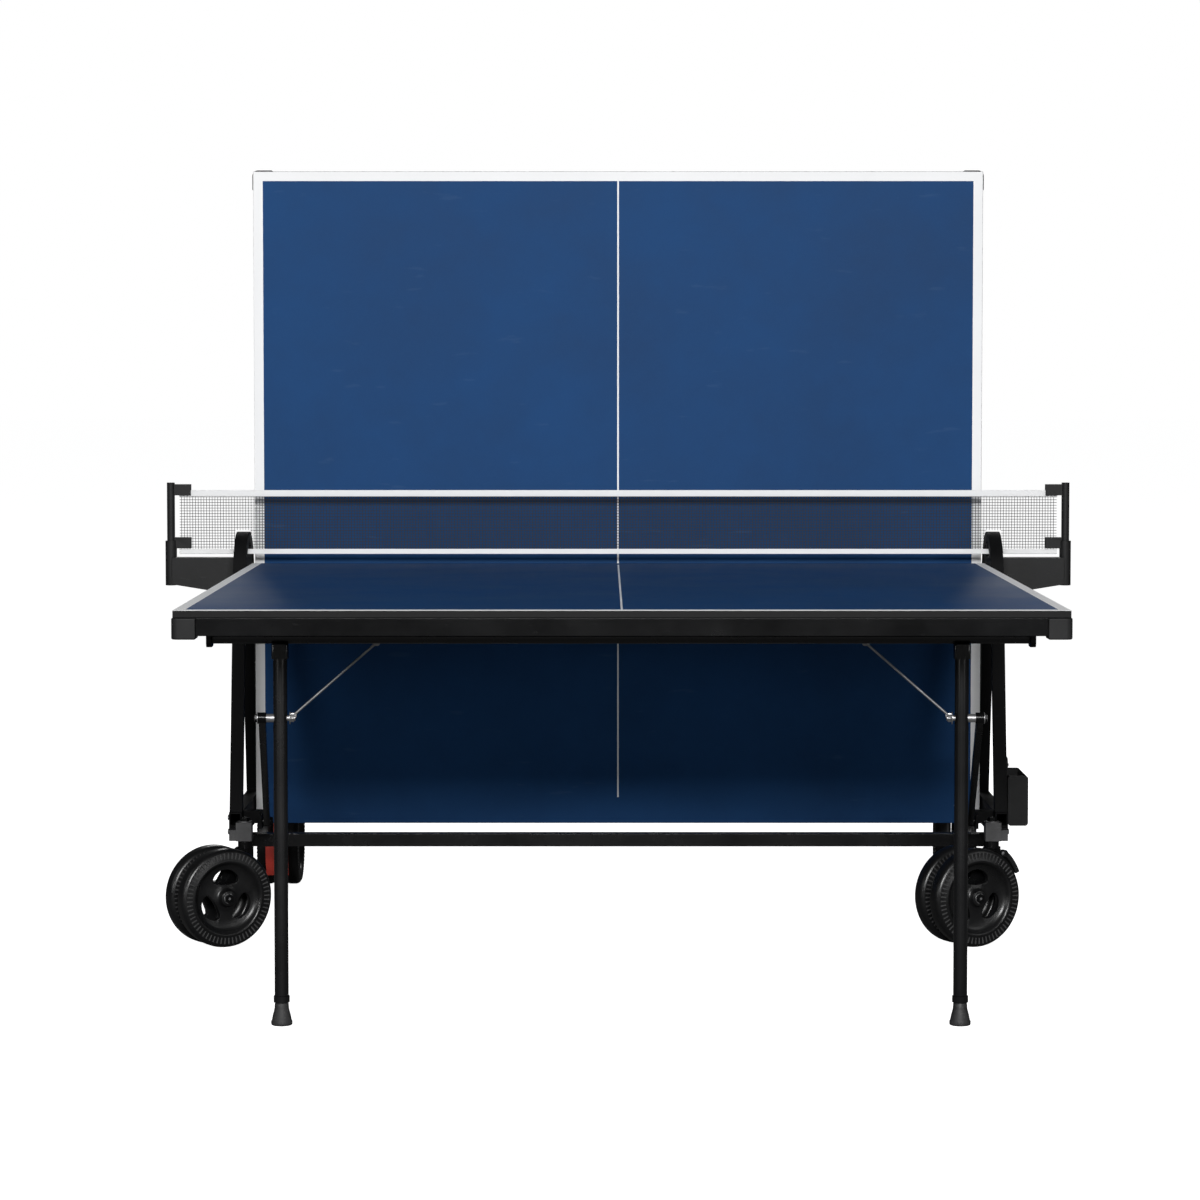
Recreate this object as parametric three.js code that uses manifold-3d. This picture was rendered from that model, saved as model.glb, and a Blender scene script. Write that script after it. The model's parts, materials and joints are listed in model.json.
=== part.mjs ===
// Folding ping pong table on a wheeled carriage: one half set up for play, the other
// folded upright as a practice wall.  Millimetres, +Z up, the net along X, the near half
// towards -Y.  The origin is on the floor under the middle of the whole table.
import * as THREE from 'three';
import Module from 'manifold-3d';
import { mergeVertices } from 'three/addons/utils/BufferGeometryUtils.js';

const wasm = await Module();
wasm.setup();

// ---- Driving dimensions ------------------------------------------------------------

// Playing surface
const TABLE_WIDTH = 1525;
const HALF_LENGTH = 1370;
const SURFACE_HEIGHT = 760;
const BOARD_THICKNESS = 19;
const BOARD_LIP = 13; // part of the board's edge that shows above its frame
const SEAM = 1.5; // half of the slit between the two halves

// Steel frame under each half
const FRAME_DEPTH = 44; // from the playing surface to the underside of the frame
const RAIL_WIDTH = 30;
const RAIL_WALL = 2;
const CAP_SIZE = 42;
const CAP_PROUD = 3;
const CAP_DROP = 6;
const CAP_RADIUS = 12;

// Where a half stands when it is folded upright
const STOW_OFFSET = 60; // playing face to the plane of the net
const STOW_CLEARANCE = 11; // lower edge above the crossbeam

// Swing arms that carry each half
const ARM_TILT = THREE.MathUtils.degToRad(5);
const ARM_PIN_DEPTH = 30; // pin below the playing surface
const ARM_THICKNESS = 3;
const ARM_WIDTH = 26;
const ARM_GAP = 0.8; // to the rail on one side and the arch on the other

// Arches, the bent side frames of the carriage
const ARCH_WIDTH = 26;
const ARCH_DEPTH = 22;
const ARCH_RISE = 66; // above the playing surface
const ARCH_BEND = 80; // radius of the bend at the tube's middle
const ARCH_LEAN = THREE.MathUtils.degToRad(11);
const ARCH_CLEARANCE = 5; // above the wheels
const HINGE_PLATE = 6;
const HINGE_PLATE_DROP = 72; // below the playing surface
const HINGE_PLATE_RISE = 16; // above it
const BASE_CELL = 29; // height of one of the two stacked tubes at an arch's foot
const BASE_WALL = 3;

// Crossbeam between the arches
const BEAM_DROP = 37; // below the arches' feet
const BEAM_HEIGHT = 27;
const BEAM_DEPTH = 28;
const LUG_LENGTH = 44;

// Outriggers that carry the casters
const OUTRIGGER_TRAVEL = 322;
const SLIDE_CLEARANCE = 0.5;
const CLAMP_WIDTH = 32;
const CLAMP_DEPTH = 30;
const CLAMP_CLEARANCE = 8; // above the wheels
const CLAMP_HEIGHT = 38;
const STEM_INSET = 8; // caster stem inside the arch's inner face

// Casters with twin wheels
const WHEEL_RADIUS = 100;
const WHEEL_WIDTH = 37;
const WHEEL_SPACING = 57; // middle of one wheel to the middle of the other
const TRAIL = 60;
const AXLE_RADIUS = 6;
const STEM_RADIUS = 8;
const FORK_THICKNESS = 14;
const PEDAL_WIDTH = 50;
const SHOE_THICKNESS = 9;

// Outer leg frames
const LEG_RADIUS = 12.5;
const LEG_INSET = 158; // from the table's side
const LEG_SETBACK = 269; // from the table's end
const LEG_PIVOT_DEPTH = 66; // below the playing surface
const LEG_TOP_DEPTH = 100; // below the playing surface
const FOOT_HEIGHT = 40;
const FOOT_RADIUS = 19;
const STUD_RADIUS = 5;
const STUD_LENGTH = 26;
const BRACE_REACH = 148.5; // along the crossbar from a leg to its brace

// Links from the carriage to the legs
const LINK_PIN_DEPTH = 211; // on the leg, below the playing surface
const LINK_FOOT_RISE = 45; // on the carriage, above the arches' feet
const LINK_FOOT_INSET = 50.5; // from the table's side
const LINK_THICKNESS = 15;
const LINK_EYE_RADIUS = 10;
const LINK_HEIGHT = 18;

// Net, posts and the moulded arms that hold them
const NET_RISE = 152.5; // above the playing surface
const NET_CLEARANCE = 19; // its lower edge above the surface
const NET_SHORTFALL = 16; // its end to the middle of the post
const NET_THICKNESS = 3;
const POST_REACH = 168.5; // past the table's side
const POST_RADIUS = 8.25;
const POST_RISE = 168; // above the playing surface
const SOCKET_RADIUS = 12;
const SOCKET_DROP = 46; // below the playing surface
const SOCKET_RISE = 47; // above it
const CLIP_HEIGHT = 23;
const CLIP_LENGTH = 26;
const CLIP_DEPTH = 14;
const NET_ARM_DEPTH = 46;

// Ball holder on the right arch
const HOLDER_WIDTH = 41;
const HOLDER_RISE = 30; // above the arches' feet
const HOLDER_HEIGHT = 102;
const HOLDER_LENGTH = 150;
const HOLDER_WALL = 3;

// Running gap between faces that meet, and play around a pin
const GAP = 0.3;
const PIN_RADIUS = 5;
const PIN_PLAY = 0.3;

// ---- Places worked out from those sizes ---------------------------------------------

const HALF_WIDTH = TABLE_WIDTH / 2;
const WHEEL_TOP = 2 * WHEEL_RADIUS;
const ARCH_TOP = SURFACE_HEIGHT + ARCH_RISE;
const ARCH_FOOT = WHEEL_TOP + ARCH_CLEARANCE;
const HINGE_PLATE_BOTTOM = SURFACE_HEIGHT - HINGE_PLATE_DROP;
const HINGE_PLATE_TOP = SURFACE_HEIGHT + HINGE_PLATE_RISE;
const BEAM_BOTTOM = ARCH_FOOT - BEAM_DROP;
const STOW_HEIGHT = BEAM_BOTTOM + BEAM_HEIGHT + STOW_CLEARANCE;
const CLAMP_BOTTOM = WHEEL_TOP + CLAMP_CLEARANCE;
const HOLDER_BOTTOM = ARCH_FOOT + HOLDER_RISE;
const LEG_X = HALF_WIDTH - LEG_INSET;
const LEG_DISTANCE = HALF_LENGTH - LEG_SETBACK;
const LEG_TOP = SURFACE_HEIGHT - LEG_TOP_DEPTH;
const BRACE_X = LEG_X - BRACE_REACH;
const LINK_PIN_HEIGHT = SURFACE_HEIGHT - LINK_PIN_DEPTH;
const LINK_FOOT_HEIGHT = ARCH_FOOT + LINK_FOOT_RISE;
const LINK_FOOT_X = HALF_WIDTH - LINK_FOOT_INSET;
const POST_X = HALF_WIDTH + POST_REACH;
const POST_TOP = SURFACE_HEIGHT + POST_RISE;
const SOCKET_BOTTOM = SURFACE_HEIGHT - SOCKET_DROP;
const SOCKET_TOP = SURFACE_HEIGHT + SOCKET_RISE;
const NET_TOP = SURFACE_HEIGHT + NET_RISE;
const NET_BOTTOM = SURFACE_HEIGHT + NET_CLEARANCE;
const NET_HALF_LENGTH = POST_X - NET_SHORTFALL;
const RAIL_BOTTOM = SURFACE_HEIGHT - FRAME_DEPTH;
const RAIL_TOP = SURFACE_HEIGHT - BOARD_THICKNESS - GAP;
const LIP_TOP = SURFACE_HEIGHT - BOARD_LIP - GAP;
const RAIL_INNER = HALF_WIDTH - RAIL_WIDTH;
const ARM_INNER = HALF_WIDTH + ARM_GAP;
const ARCH_INNER = ARM_INNER + ARM_THICKNESS + ARM_GAP;
const ARCH_OUTER = ARCH_INNER + ARCH_WIDTH;
const STEM_X = ARCH_INNER - STEM_INSET;
const ARCH_OUTER_RADIUS = ARCH_BEND + ARCH_DEPTH / 2;
const ARCH_INNER_RADIUS = ARCH_BEND - ARCH_DEPTH / 2;
const ARCH_CENTRE = ARCH_TOP - ARCH_OUTER_RADIUS;
const BASE_HALF = Math.ceil(archFootAt(ARCH_OUTER_RADIUS));
const BASE_TOP = ARCH_FOOT + 2 * BASE_CELL;
const STEM_S = BASE_HALF + GAP + CLAMP_DEPTH / 2;
const CLAMP_TOP = CLAMP_BOTTOM + CLAMP_HEIGHT;
const LEG_PIVOT_Z = SURFACE_HEIGHT - LEG_PIVOT_DEPTH;
const LINK_TOP_X = LEG_X + LEG_RADIUS + LINK_THICKNESS / 2 + 12.5;

// The arm turns a quarter turn down while the half turns a quarter turn up.
const ARM_LENGTH =
  (SURFACE_HEIGHT - STOW_HEIGHT - STOW_OFFSET - 2 * ARM_PIN_DEPTH) / (2 * Math.cos(ARM_TILT));
const RAIL_PIN_S =
  STOW_OFFSET + ARM_PIN_DEPTH + ARM_LENGTH * (Math.cos(ARM_TILT) - Math.sin(ARM_TILT));
const ARM_S = RAIL_PIN_S - ARM_LENGTH * Math.cos(ARM_TILT);
const ARM_Z = SURFACE_HEIGHT - ARM_PIN_DEPTH - ARM_LENGTH * Math.sin(ARM_TILT);

// The link's foot is as far from its pin on the leg in play as when stowed.
const PIN_OPEN = new THREE.Vector2(LEG_DISTANCE, LINK_PIN_HEIGHT);
const PIN_STOWED = new THREE.Vector2(
  STOW_OFFSET + LEG_PIVOT_DEPTH,
  STOW_HEIGHT + LEG_DISTANCE - (LEG_PIVOT_Z - LINK_PIN_HEIGHT),
);
const PIN_MIDDLE = PIN_OPEN.clone().add(PIN_STOWED).multiplyScalar(0.5);
const LINK_SLOPE = (PIN_STOWED.y - PIN_OPEN.y) / (PIN_OPEN.x - PIN_STOWED.x);
const LINK_FOOT = new THREE.Vector2(
  PIN_MIDDLE.x + (LINK_FOOT_HEIGHT - PIN_MIDDLE.y) * LINK_SLOPE,
  LINK_FOOT_HEIGHT,
);
const LINK_LENGTH = PIN_OPEN.distanceTo(LINK_FOOT);
const LINK_ANGLE_OPEN = PIN_OPEN.clone().sub(LINK_FOOT).angle();
const LINK_ANGLE_STOWED = PIN_STOWED.clone().sub(LINK_FOOT).angle();

// ---- Finishes ------------------------------------------------------------------------

const FINISHES = {
  surface: { color: 0x2a4d78, roughness: 0.55, metalness: 0 },
  frame: { color: 0x3a3b3d, roughness: 0.5, metalness: 0.4 },
  black: { color: 0x1c1d1f, roughness: 0.4, metalness: 0.4 },
  moulded: { color: 0x55575a, roughness: 0.6, metalness: 0 },
  plated: { color: 0xa9abad, roughness: 0.3, metalness: 0.9 },
  tyre: { color: 0x2b2c2e, roughness: 0.8, metalness: 0 },
  net: { color: 0xd5dadf, roughness: 0.8, metalness: 0 },
  red: { color: 0xa53630, roughness: 0.5, metalness: 0 },
};

// ---- Solids --------------------------------------------------------------------------

function solid(geometry) {
  const plain = geometry.clone();
  plain.deleteAttribute('normal');
  plain.deleteAttribute('uv');
  const merged = mergeVertices(plain);
  const vertProperties = new Float32Array(merged.attributes.position.array);
  const triVerts = new Uint32Array(merged.index.array);
  return new wasm.Manifold(new wasm.Mesh({ numProp: 3, vertProperties, triVerts }));
}

function geometryOf(manifold) {
  const mesh = manifold.getMesh();
  const geometry = new THREE.BufferGeometry();
  geometry.setAttribute('position', new THREE.BufferAttribute(mesh.vertProperties, 3));
  geometry.setIndex(new THREE.BufferAttribute(mesh.triVerts, 1));
  return geometry;
}

function joined(...geometries) {
  return geometryOf(geometries.map(solid).reduce((sum, next) => sum.add(next)));
}

function cut(geometry, ...tools) {
  return geometryOf(tools.map(solid).reduce((rest, tool) => rest.subtract(tool), solid(geometry)));
}

function box(x0, x1, y0, y1, z0, z1) {
  const geometry = new THREE.BoxGeometry(Math.abs(x1 - x0), y1 - y0, z1 - z0);
  return geometry.translate((x0 + x1) / 2, (y0 + y1) / 2, (z0 + z1) / 2);
}

function rodX(radius, x0, x1, y, z, sides = 12) {
  const geometry = new THREE.CylinderGeometry(radius, radius, Math.abs(x1 - x0), sides);
  return geometry.rotateZ(Math.PI / 2).translate((x0 + x1) / 2, y, z);
}

function rodY(radius, x, y0, y1, z, sides = 12) {
  const geometry = new THREE.CylinderGeometry(radius, radius, y1 - y0, sides);
  return geometry.translate(x, (y0 + y1) / 2, z);
}

function rodZ(radius, x, y, z0, z1, sides = 12) {
  const geometry = new THREE.CylinderGeometry(radius, radius, z1 - z0, sides);
  return geometry.rotateX(Math.PI / 2).translate(x, y, (z0 + z1) / 2);
}

// An outline in the YZ plane, extruded between two places on X
function plateYZ(shape, x0, x1, curveSegments = 16) {
  const depth = Math.abs(x1 - x0);
  const geometry = new THREE.ExtrudeGeometry(shape, { depth, bevelEnabled: false, curveSegments });
  const turn = new THREE.Matrix4().makeBasis(
    new THREE.Vector3(0, 1, 0),
    new THREE.Vector3(0, 0, 1),
    new THREE.Vector3(1, 0, 0),
  );
  return geometry.applyMatrix4(turn).translate(Math.min(x0, x1), 0, 0);
}

// An outline in the XZ plane, extruded between two places on Y
function plateXZ(shape, y0, y1, curveSegments = 12) {
  const depth = y1 - y0;
  const geometry = new THREE.ExtrudeGeometry(shape, { depth, bevelEnabled: false, curveSegments });
  return geometry.rotateX(Math.PI / 2).translate(0, y1, 0);
}

function polygon(points) {
  return new THREE.Shape(points.map(([a, b]) => new THREE.Vector2(a, b)));
}

// A bar with round ends between (0, 0) and (length, 0)
function slotShape(length, radius) {
  const shape = new THREE.Shape();
  shape.moveTo(0, -radius);
  shape.lineTo(length, -radius);
  shape.absarc(length, 0, radius, -Math.PI / 2, Math.PI / 2, false);
  shape.lineTo(0, radius);
  shape.absarc(0, 0, radius, Math.PI / 2, (3 * Math.PI) / 2, false);
  return shape;
}

function roundedRectangle(x0, x1, y0, y1, radius) {
  const shape = new THREE.Shape();
  shape.moveTo(x0 + radius, y0);
  shape.lineTo(x1 - radius, y0);
  shape.absarc(x1 - radius, y0 + radius, radius, -Math.PI / 2, 0, false);
  shape.lineTo(x1, y1 - radius);
  shape.absarc(x1 - radius, y1 - radius, radius, 0, Math.PI / 2, false);
  shape.lineTo(x0 + radius, y1);
  shape.absarc(x0 + radius, y1 - radius, radius, Math.PI / 2, Math.PI, false);
  shape.lineTo(x0, y0 + radius);
  shape.absarc(x0 + radius, y0 + radius, radius, Math.PI, (3 * Math.PI) / 2, false);
  return shape;
}

function addPiece(parent, name, geometry, finish) {
  const mesh = new THREE.Mesh(geometry, new THREE.MeshStandardMaterial(FINISHES[finish]));
  mesh.name = name;
  parent.add(mesh);
  return mesh;
}

function addGroup(parent, y = 0, z = 0, turnX = 0) {
  const group = new THREE.Group();
  group.position.set(0, y, z);
  group.rotation.x = turnX;
  parent.add(group);
  return group;
}

// ---- Carriage ------------------------------------------------------------------------

// Distance from the net's plane to the leg's face that leaves the bend at this radius
function archFootAt(radius) {
  const cos = Math.cos(ARCH_LEAN);
  const sin = Math.sin(ARCH_LEAN);
  return radius * cos + ((ARCH_CENTRE + radius * sin - ARCH_FOOT) / cos) * sin;
}

function archOutline() {
  const cos = Math.cos(ARCH_LEAN);
  const sin = Math.sin(ARCH_LEAN);
  const outer = ARCH_OUTER_RADIUS;
  const inner = ARCH_INNER_RADIUS;
  const centre = ARCH_CENTRE;
  const shape = new THREE.Shape();
  shape.moveTo(archFootAt(outer), ARCH_FOOT);
  shape.lineTo(outer * cos, centre + outer * sin);
  shape.absarc(0, centre, outer, ARCH_LEAN, Math.PI - ARCH_LEAN, false);
  shape.lineTo(-archFootAt(outer), ARCH_FOOT);
  shape.lineTo(-archFootAt(inner), ARCH_FOOT);
  shape.lineTo(-inner * cos, centre + inner * sin);
  shape.absarc(0, centre, inner, Math.PI - ARCH_LEAN, ARCH_LEAN, true);
  shape.lineTo(archFootAt(inner), ARCH_FOOT);
  shape.closePath();
  return shape;
}

// Lug on an arch's foot that carries a link's pin, at the end y of the carriage
function linkBracket(sign, end) {
  const plateInner = LINK_FOOT_X + LINK_THICKNESS / 2 + 2;
  const plateOuter = plateInner + 6;
  const stubStart = 130;
  const stubEnd = 160;
  const y0 = end > 0 ? stubStart : -stubEnd;
  const y1 = end > 0 ? stubEnd : -stubStart;
  const tip = end * (LINK_FOOT.x + 14);
  const plateY0 = Math.min(end * stubStart, tip);
  const plateY1 = Math.max(end * stubStart, tip);
  const bottom = LINK_FOOT.y - 14;
  const top = LINK_FOOT.y + 14;
  const headInner = LINK_FOOT_X - LINK_THICKNESS / 2 - GAP - 4;
  const headOuter = LINK_FOOT_X - LINK_THICKNESS / 2 - GAP;
  return joined(
    box(sign * plateInner, sign * plateOuter, plateY0, plateY1, bottom, top),
    box(sign * (plateOuter - 1), sign * (ARCH_INNER + 1), y0, y1, bottom, BASE_TOP - 2),
    rodX(PIN_RADIUS, sign * (headOuter - 1), sign * (plateInner + 1), end * LINK_FOOT.x, LINK_FOOT.y),
    rodX(9, sign * headInner, sign * headOuter, end * LINK_FOOT.x, LINK_FOOT.y, 6),
  );
}

function arch(sign) {
  const inner = sign * ARCH_INNER;
  const outer = sign * ARCH_OUTER;
  const plateHalf = ARCH_BEND - ARCH_DEPTH / 4;
  const lugHalf = LUG_LENGTH / 2;
  const body = joined(
    plateYZ(archOutline(), inner, outer, 14),
    box(inner, sign * (ARCH_INNER + HINGE_PLATE), -plateHalf, plateHalf, HINGE_PLATE_BOTTOM, HINGE_PLATE_TOP),
    box(inner, outer, -BASE_HALF, BASE_HALF, ARCH_FOOT, BASE_TOP),
    box(inner, outer, -lugHalf, lugHalf, BEAM_BOTTOM - 4, ARCH_FOOT + 1),
    linkBracket(sign, 1),
    linkBracket(sign, -1),
  );
  const boreX0 = sign * (ARCH_INNER + BASE_WALL);
  const boreX1 = sign * (ARCH_OUTER - BASE_WALL);
  const bores = [0, 1].map((level) => {
    const bottom = ARCH_FOOT + level * BASE_CELL + BASE_WALL;
    const top = ARCH_FOOT + (level + 1) * BASE_CELL - BASE_WALL;
    return box(boreX0, boreX1, -BASE_HALF - 20, BASE_HALF + 20, bottom, top);
  });
  const pinHoles = [-1, 1].map((end) =>
    rodX(PIN_RADIUS + PIN_PLAY, inner - sign, sign * (ARCH_INNER + HINGE_PLATE + 1), end * ARM_S, ARM_Z),
  );
  return cut(body, ...bores, ...pinHoles);
}

function crossbeam() {
  const reach = ARCH_INNER - GAP;
  const half = BEAM_DEPTH / 2;
  const top = BEAM_BOTTOM + BEAM_HEIGHT;
  return cut(
    box(-reach, reach, -half, half, BEAM_BOTTOM, top),
    box(-reach - 5, reach + 5, -half + 2, half - 2, BEAM_BOTTOM + 2, top - 2),
  );
}

// Moulded arm that reaches out of the arch to the post's socket
function netArm(sign) {
  const root = ARCH_INNER + HINGE_PLATE + GAP;
  const outline = polygon([
    [sign * root, HINGE_PLATE_BOTTOM + 4],
    [sign * (POST_X - 4), SOCKET_BOTTOM + 3],
    [sign * (POST_X - 4), HINGE_PLATE_TOP - 4],
    [sign * root, HINGE_PLATE_TOP - 4],
  ]);
  const body = joined(
    plateXZ(outline, -NET_ARM_DEPTH / 2, NET_ARM_DEPTH / 2),
    rodZ(SOCKET_RADIUS, sign * POST_X, 0, SOCKET_BOTTOM, SOCKET_TOP, 24),
  );
  return cut(
    body,
    rodZ(POST_RADIUS + GAP, sign * POST_X, 0, SOCKET_BOTTOM + 6 - GAP, SOCKET_TOP + 10, 20),
  );
}

function netPost(sign) {
  const clipInner = NET_HALF_LENGTH - CLIP_LENGTH;
  const clipOuter = POST_X - POST_RADIUS + 1;
  const socketRoom = rodZ(SOCKET_RADIUS + GAP, sign * POST_X, 0, SOCKET_BOTTOM, SOCKET_TOP + GAP, 24);
  const clips = [NET_BOTTOM + 12, NET_TOP - 11].map((bottom) =>
    cut(
      box(
        sign * clipInner,
        sign * clipOuter,
        -CLIP_DEPTH / 2,
        CLIP_DEPTH / 2,
        bottom,
        bottom + CLIP_HEIGHT,
      ),
      socketRoom,
    ),
  );
  const slotHalf = NET_THICKNESS / 2 + GAP;
  return cut(
    joined(rodZ(POST_RADIUS, sign * POST_X, 0, SOCKET_BOTTOM + 6, POST_TOP, 20), ...clips),
    box(
      sign * (clipInner - 10),
      sign * (NET_HALF_LENGTH + GAP),
      -slotHalf,
      slotHalf,
      NET_BOTTOM - 10,
      NET_TOP + GAP,
    ),
  );
}

// The net passes through both arches, so it is slit around the top of each one.
function net() {
  const half = NET_THICKNESS / 2;
  const windows = [-1, 1].map((sign) =>
    box(
      sign * (ARCH_INNER - 3),
      sign * (ARCH_OUTER + 3),
      -10,
      10,
      ARCH_TOP - ARCH_DEPTH - 3,
      ARCH_TOP + 3,
    ),
  );
  return cut(box(-NET_HALF_LENGTH, NET_HALF_LENGTH, -half, half, NET_BOTTOM, NET_TOP), ...windows);
}

function ballHolder() {
  const inner = ARCH_OUTER + GAP;
  const outer = inner + HOLDER_WIDTH;
  const y0 = -HOLDER_LENGTH - 40;
  const y1 = -40;
  const top = HOLDER_BOTTOM + HOLDER_HEIGHT;
  const plateShape = roundedRectangle(y0 + 30, y1 - 30, top - 20, top + 34, 12);
  const tray = plateXZ(roundedRectangle(inner, outer, HOLDER_BOTTOM, top, 6), y0, y1, 3);
  const pocket = box(
    inner + HOLDER_WALL,
    outer - HOLDER_WALL,
    y0 + HOLDER_WALL,
    y1 - HOLDER_WALL,
    HOLDER_BOTTOM + HOLDER_WALL,
    top + 10,
  );
  return cut(joined(tray, plateYZ(plateShape, inner, inner + HOLDER_WALL, 4)), pocket);
}

// ---- Casters -------------------------------------------------------------------------

// In a caster's own frame the stem is at the origin and the wheels trail along +X.
function casterFork() {
  const half = FORK_THICKNESS / 2;
  const reach = WHEEL_SPACING / 2 + WHEEL_WIDTH / 2 + 1;
  const cheek = polygon([
    [-16, WHEEL_TOP - 4],
    [-16, WHEEL_TOP - 32],
    [TRAIL - 18, WHEEL_RADIUS - 8],
    [TRAIL, WHEEL_RADIUS - 18],
    [TRAIL + 17, WHEEL_RADIUS - 6],
    [TRAIL + 17, WHEEL_RADIUS + 8],
    [28, WHEEL_TOP - 14],
    [16, WHEEL_TOP - 4],
  ]);
  return joined(
    plateXZ(cheek, -half, half),
    rodZ(STEM_RADIUS, 0, 0, WHEEL_TOP - 20, CLAMP_TOP + 10),
    rodZ(14, 0, 0, WHEEL_TOP - 7, CLAMP_BOTTOM - GAP - 1, 16),
    rodZ(10, 0, 0, CLAMP_TOP + GAP, CLAMP_TOP + 9, 6),
    rodY(AXLE_RADIUS, TRAIL, -reach, reach, WHEEL_RADIUS, 16),
    rodY(10, TRAIL, reach - 1 + GAP, reach + 4, WHEEL_RADIUS, 6),
    rodY(10, TRAIL, -reach - 4, -reach + 1 - GAP, WHEEL_RADIUS, 6),
  );
}

// One wheel about the Y axis, with three almond-shaped windows in its web
function casterWheel() {
  const half = WHEEL_WIDTH / 2;
  const web = 6;
  const hub = 16;
  const profile = [
    [AXLE_RADIUS + PIN_PLAY, -half],
    [hub, -half],
    [hub + 2, -web],
    [WHEEL_RADIUS * 0.68, -web],
    [WHEEL_RADIUS * 0.72, -half + 2],
    [WHEEL_RADIUS * 0.92, -half],
    [WHEEL_RADIUS, -half + 7],
    [WHEEL_RADIUS, half - 7],
    [WHEEL_RADIUS * 0.92, half],
    [WHEEL_RADIUS * 0.72, half - 2],
    [WHEEL_RADIUS * 0.68, web],
    [hub + 2, web],
    [hub, half],
    [AXLE_RADIUS + PIN_PLAY, half],
    [AXLE_RADIUS + PIN_PLAY, -half],
  ];
  const disc = new THREE.LatheGeometry(profile.map(([r, y]) => new THREE.Vector2(r, y)), 24);
  const almond = new THREE.Shape();
  almond.moveTo(-30, 0);
  almond.quadraticCurveTo(0, 24, 30, 0);
  almond.quadraticCurveTo(0, -20, -30, 0);
  const windows = [0, 1, 2].map((index) => {
    const hole = new THREE.ExtrudeGeometry(almond, { depth: 40, bevelEnabled: false, curveSegments: 4 });
    hole.translate(0, WHEEL_RADIUS * 0.45, -20).rotateX(Math.PI / 2);
    return hole.rotateY(((index * 2 + 0.4) * Math.PI) / 3);
  });
  return cut(disc, ...windows);
}

// A pedal hinged on the fork, with a curved shoe that follows the rim between two angles
function brakePedal({ neck, inner, from, to }) {
  const half = PEDAL_WIDTH / 2;
  const steps = 6;
  const at = (radius, angle) => [
    TRAIL + radius * Math.cos(angle),
    WHEEL_RADIUS + radius * Math.sin(angle),
  ];
  const angles = Array.from({ length: steps + 1 }, (_, step) => from + ((to - from) * step) / steps);
  const shoe = polygon([
    ...angles.map((angle) => at(inner + SHOE_THICKNESS, angle)),
    ...angles.reverse().map((angle) => at(inner, angle)),
  ]);
  const thickness = FORK_THICKNESS / 2;
  return joined(plateXZ(polygon(neck), -thickness, thickness), plateXZ(shoe, -half, half));
}

// ---- One side of the table, built as the far side -------------------------------------

function top() {
  const overlap = RAIL_WALL + GAP;
  const lip = box(-HALF_WIDTH, HALF_WIDTH, SEAM, HALF_LENGTH, SURFACE_HEIGHT - BOARD_LIP, SURFACE_HEIGHT);
  const core = box(
    -HALF_WIDTH + overlap,
    HALF_WIDTH - overlap,
    SEAM + overlap,
    HALF_LENGTH - overlap,
    SURFACE_HEIGHT - BOARD_THICKNESS,
    SURFACE_HEIGHT - BOARD_LIP + 1,
  );
  return joined(lip, core);
}

function sideRail(sign) {
  const outline = polygon([
    [sign * RAIL_INNER, RAIL_BOTTOM],
    [sign * HALF_WIDTH, RAIL_BOTTOM],
    [sign * HALF_WIDTH, LIP_TOP],
    [sign * (HALF_WIDTH - RAIL_WALL), LIP_TOP],
    [sign * (HALF_WIDTH - RAIL_WALL), RAIL_TOP],
    [sign * RAIL_INNER, RAIL_TOP],
  ]);
  const end = HALF_LENGTH - CAP_SIZE + CAP_PROUD - GAP;
  const earInner = RAIL_INNER - 8;
  const ear = roundedRectangle(LEG_DISTANCE - 22, LEG_DISTANCE + 22, LEG_PIVOT_Z - 18, RAIL_TOP, 10);
  const body = joined(
    plateXZ(outline, SEAM, end),
    plateYZ(ear, sign * earInner, sign * (RAIL_INNER + 1), 4),
  );
  return cut(
    body,
    box(
      sign * (RAIL_INNER + RAIL_WALL),
      sign * (HALF_WIDTH - RAIL_WALL),
      SEAM - 5,
      end + 5,
      RAIL_BOTTOM + RAIL_WALL,
      RAIL_TOP - RAIL_WALL,
    ),
    rodX(
      PIN_RADIUS + PIN_PLAY,
      sign * (HALF_WIDTH - 14),
      sign * (HALF_WIDTH + 2),
      RAIL_PIN_S,
      SURFACE_HEIGHT - ARM_PIN_DEPTH,
    ),
    rodX(PIN_RADIUS + 1 + PIN_PLAY, sign * (earInner - 2), sign * (RAIL_INNER + 8), LEG_DISTANCE, LEG_PIVOT_Z),
  );
}

// Hollow rail across the table with a lip at y = face, and its body towards inside
function crossRail(reach, face, inside) {
  const y0 = Math.min(face, face + inside * RAIL_WIDTH);
  const lipY0 = Math.min(face, face + inside * RAIL_WALL);
  return cut(
    joined(
      box(-reach, reach, y0, y0 + RAIL_WIDTH, RAIL_BOTTOM, RAIL_TOP),
      box(-reach, reach, lipY0, lipY0 + RAIL_WALL, RAIL_TOP - 1, LIP_TOP),
    ),
    box(
      -reach - 5,
      reach + 5,
      y0 + RAIL_WALL,
      y0 + RAIL_WIDTH - RAIL_WALL,
      RAIL_BOTTOM + RAIL_WALL,
      RAIL_TOP - RAIL_WALL,
    ),
  );
}

function endRail() {
  return crossRail(HALF_WIDTH - CAP_SIZE + CAP_PROUD - GAP, HALF_LENGTH, -1);
}

function netRail() {
  return crossRail(RAIL_INNER - GAP, SEAM, 1);
}

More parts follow.
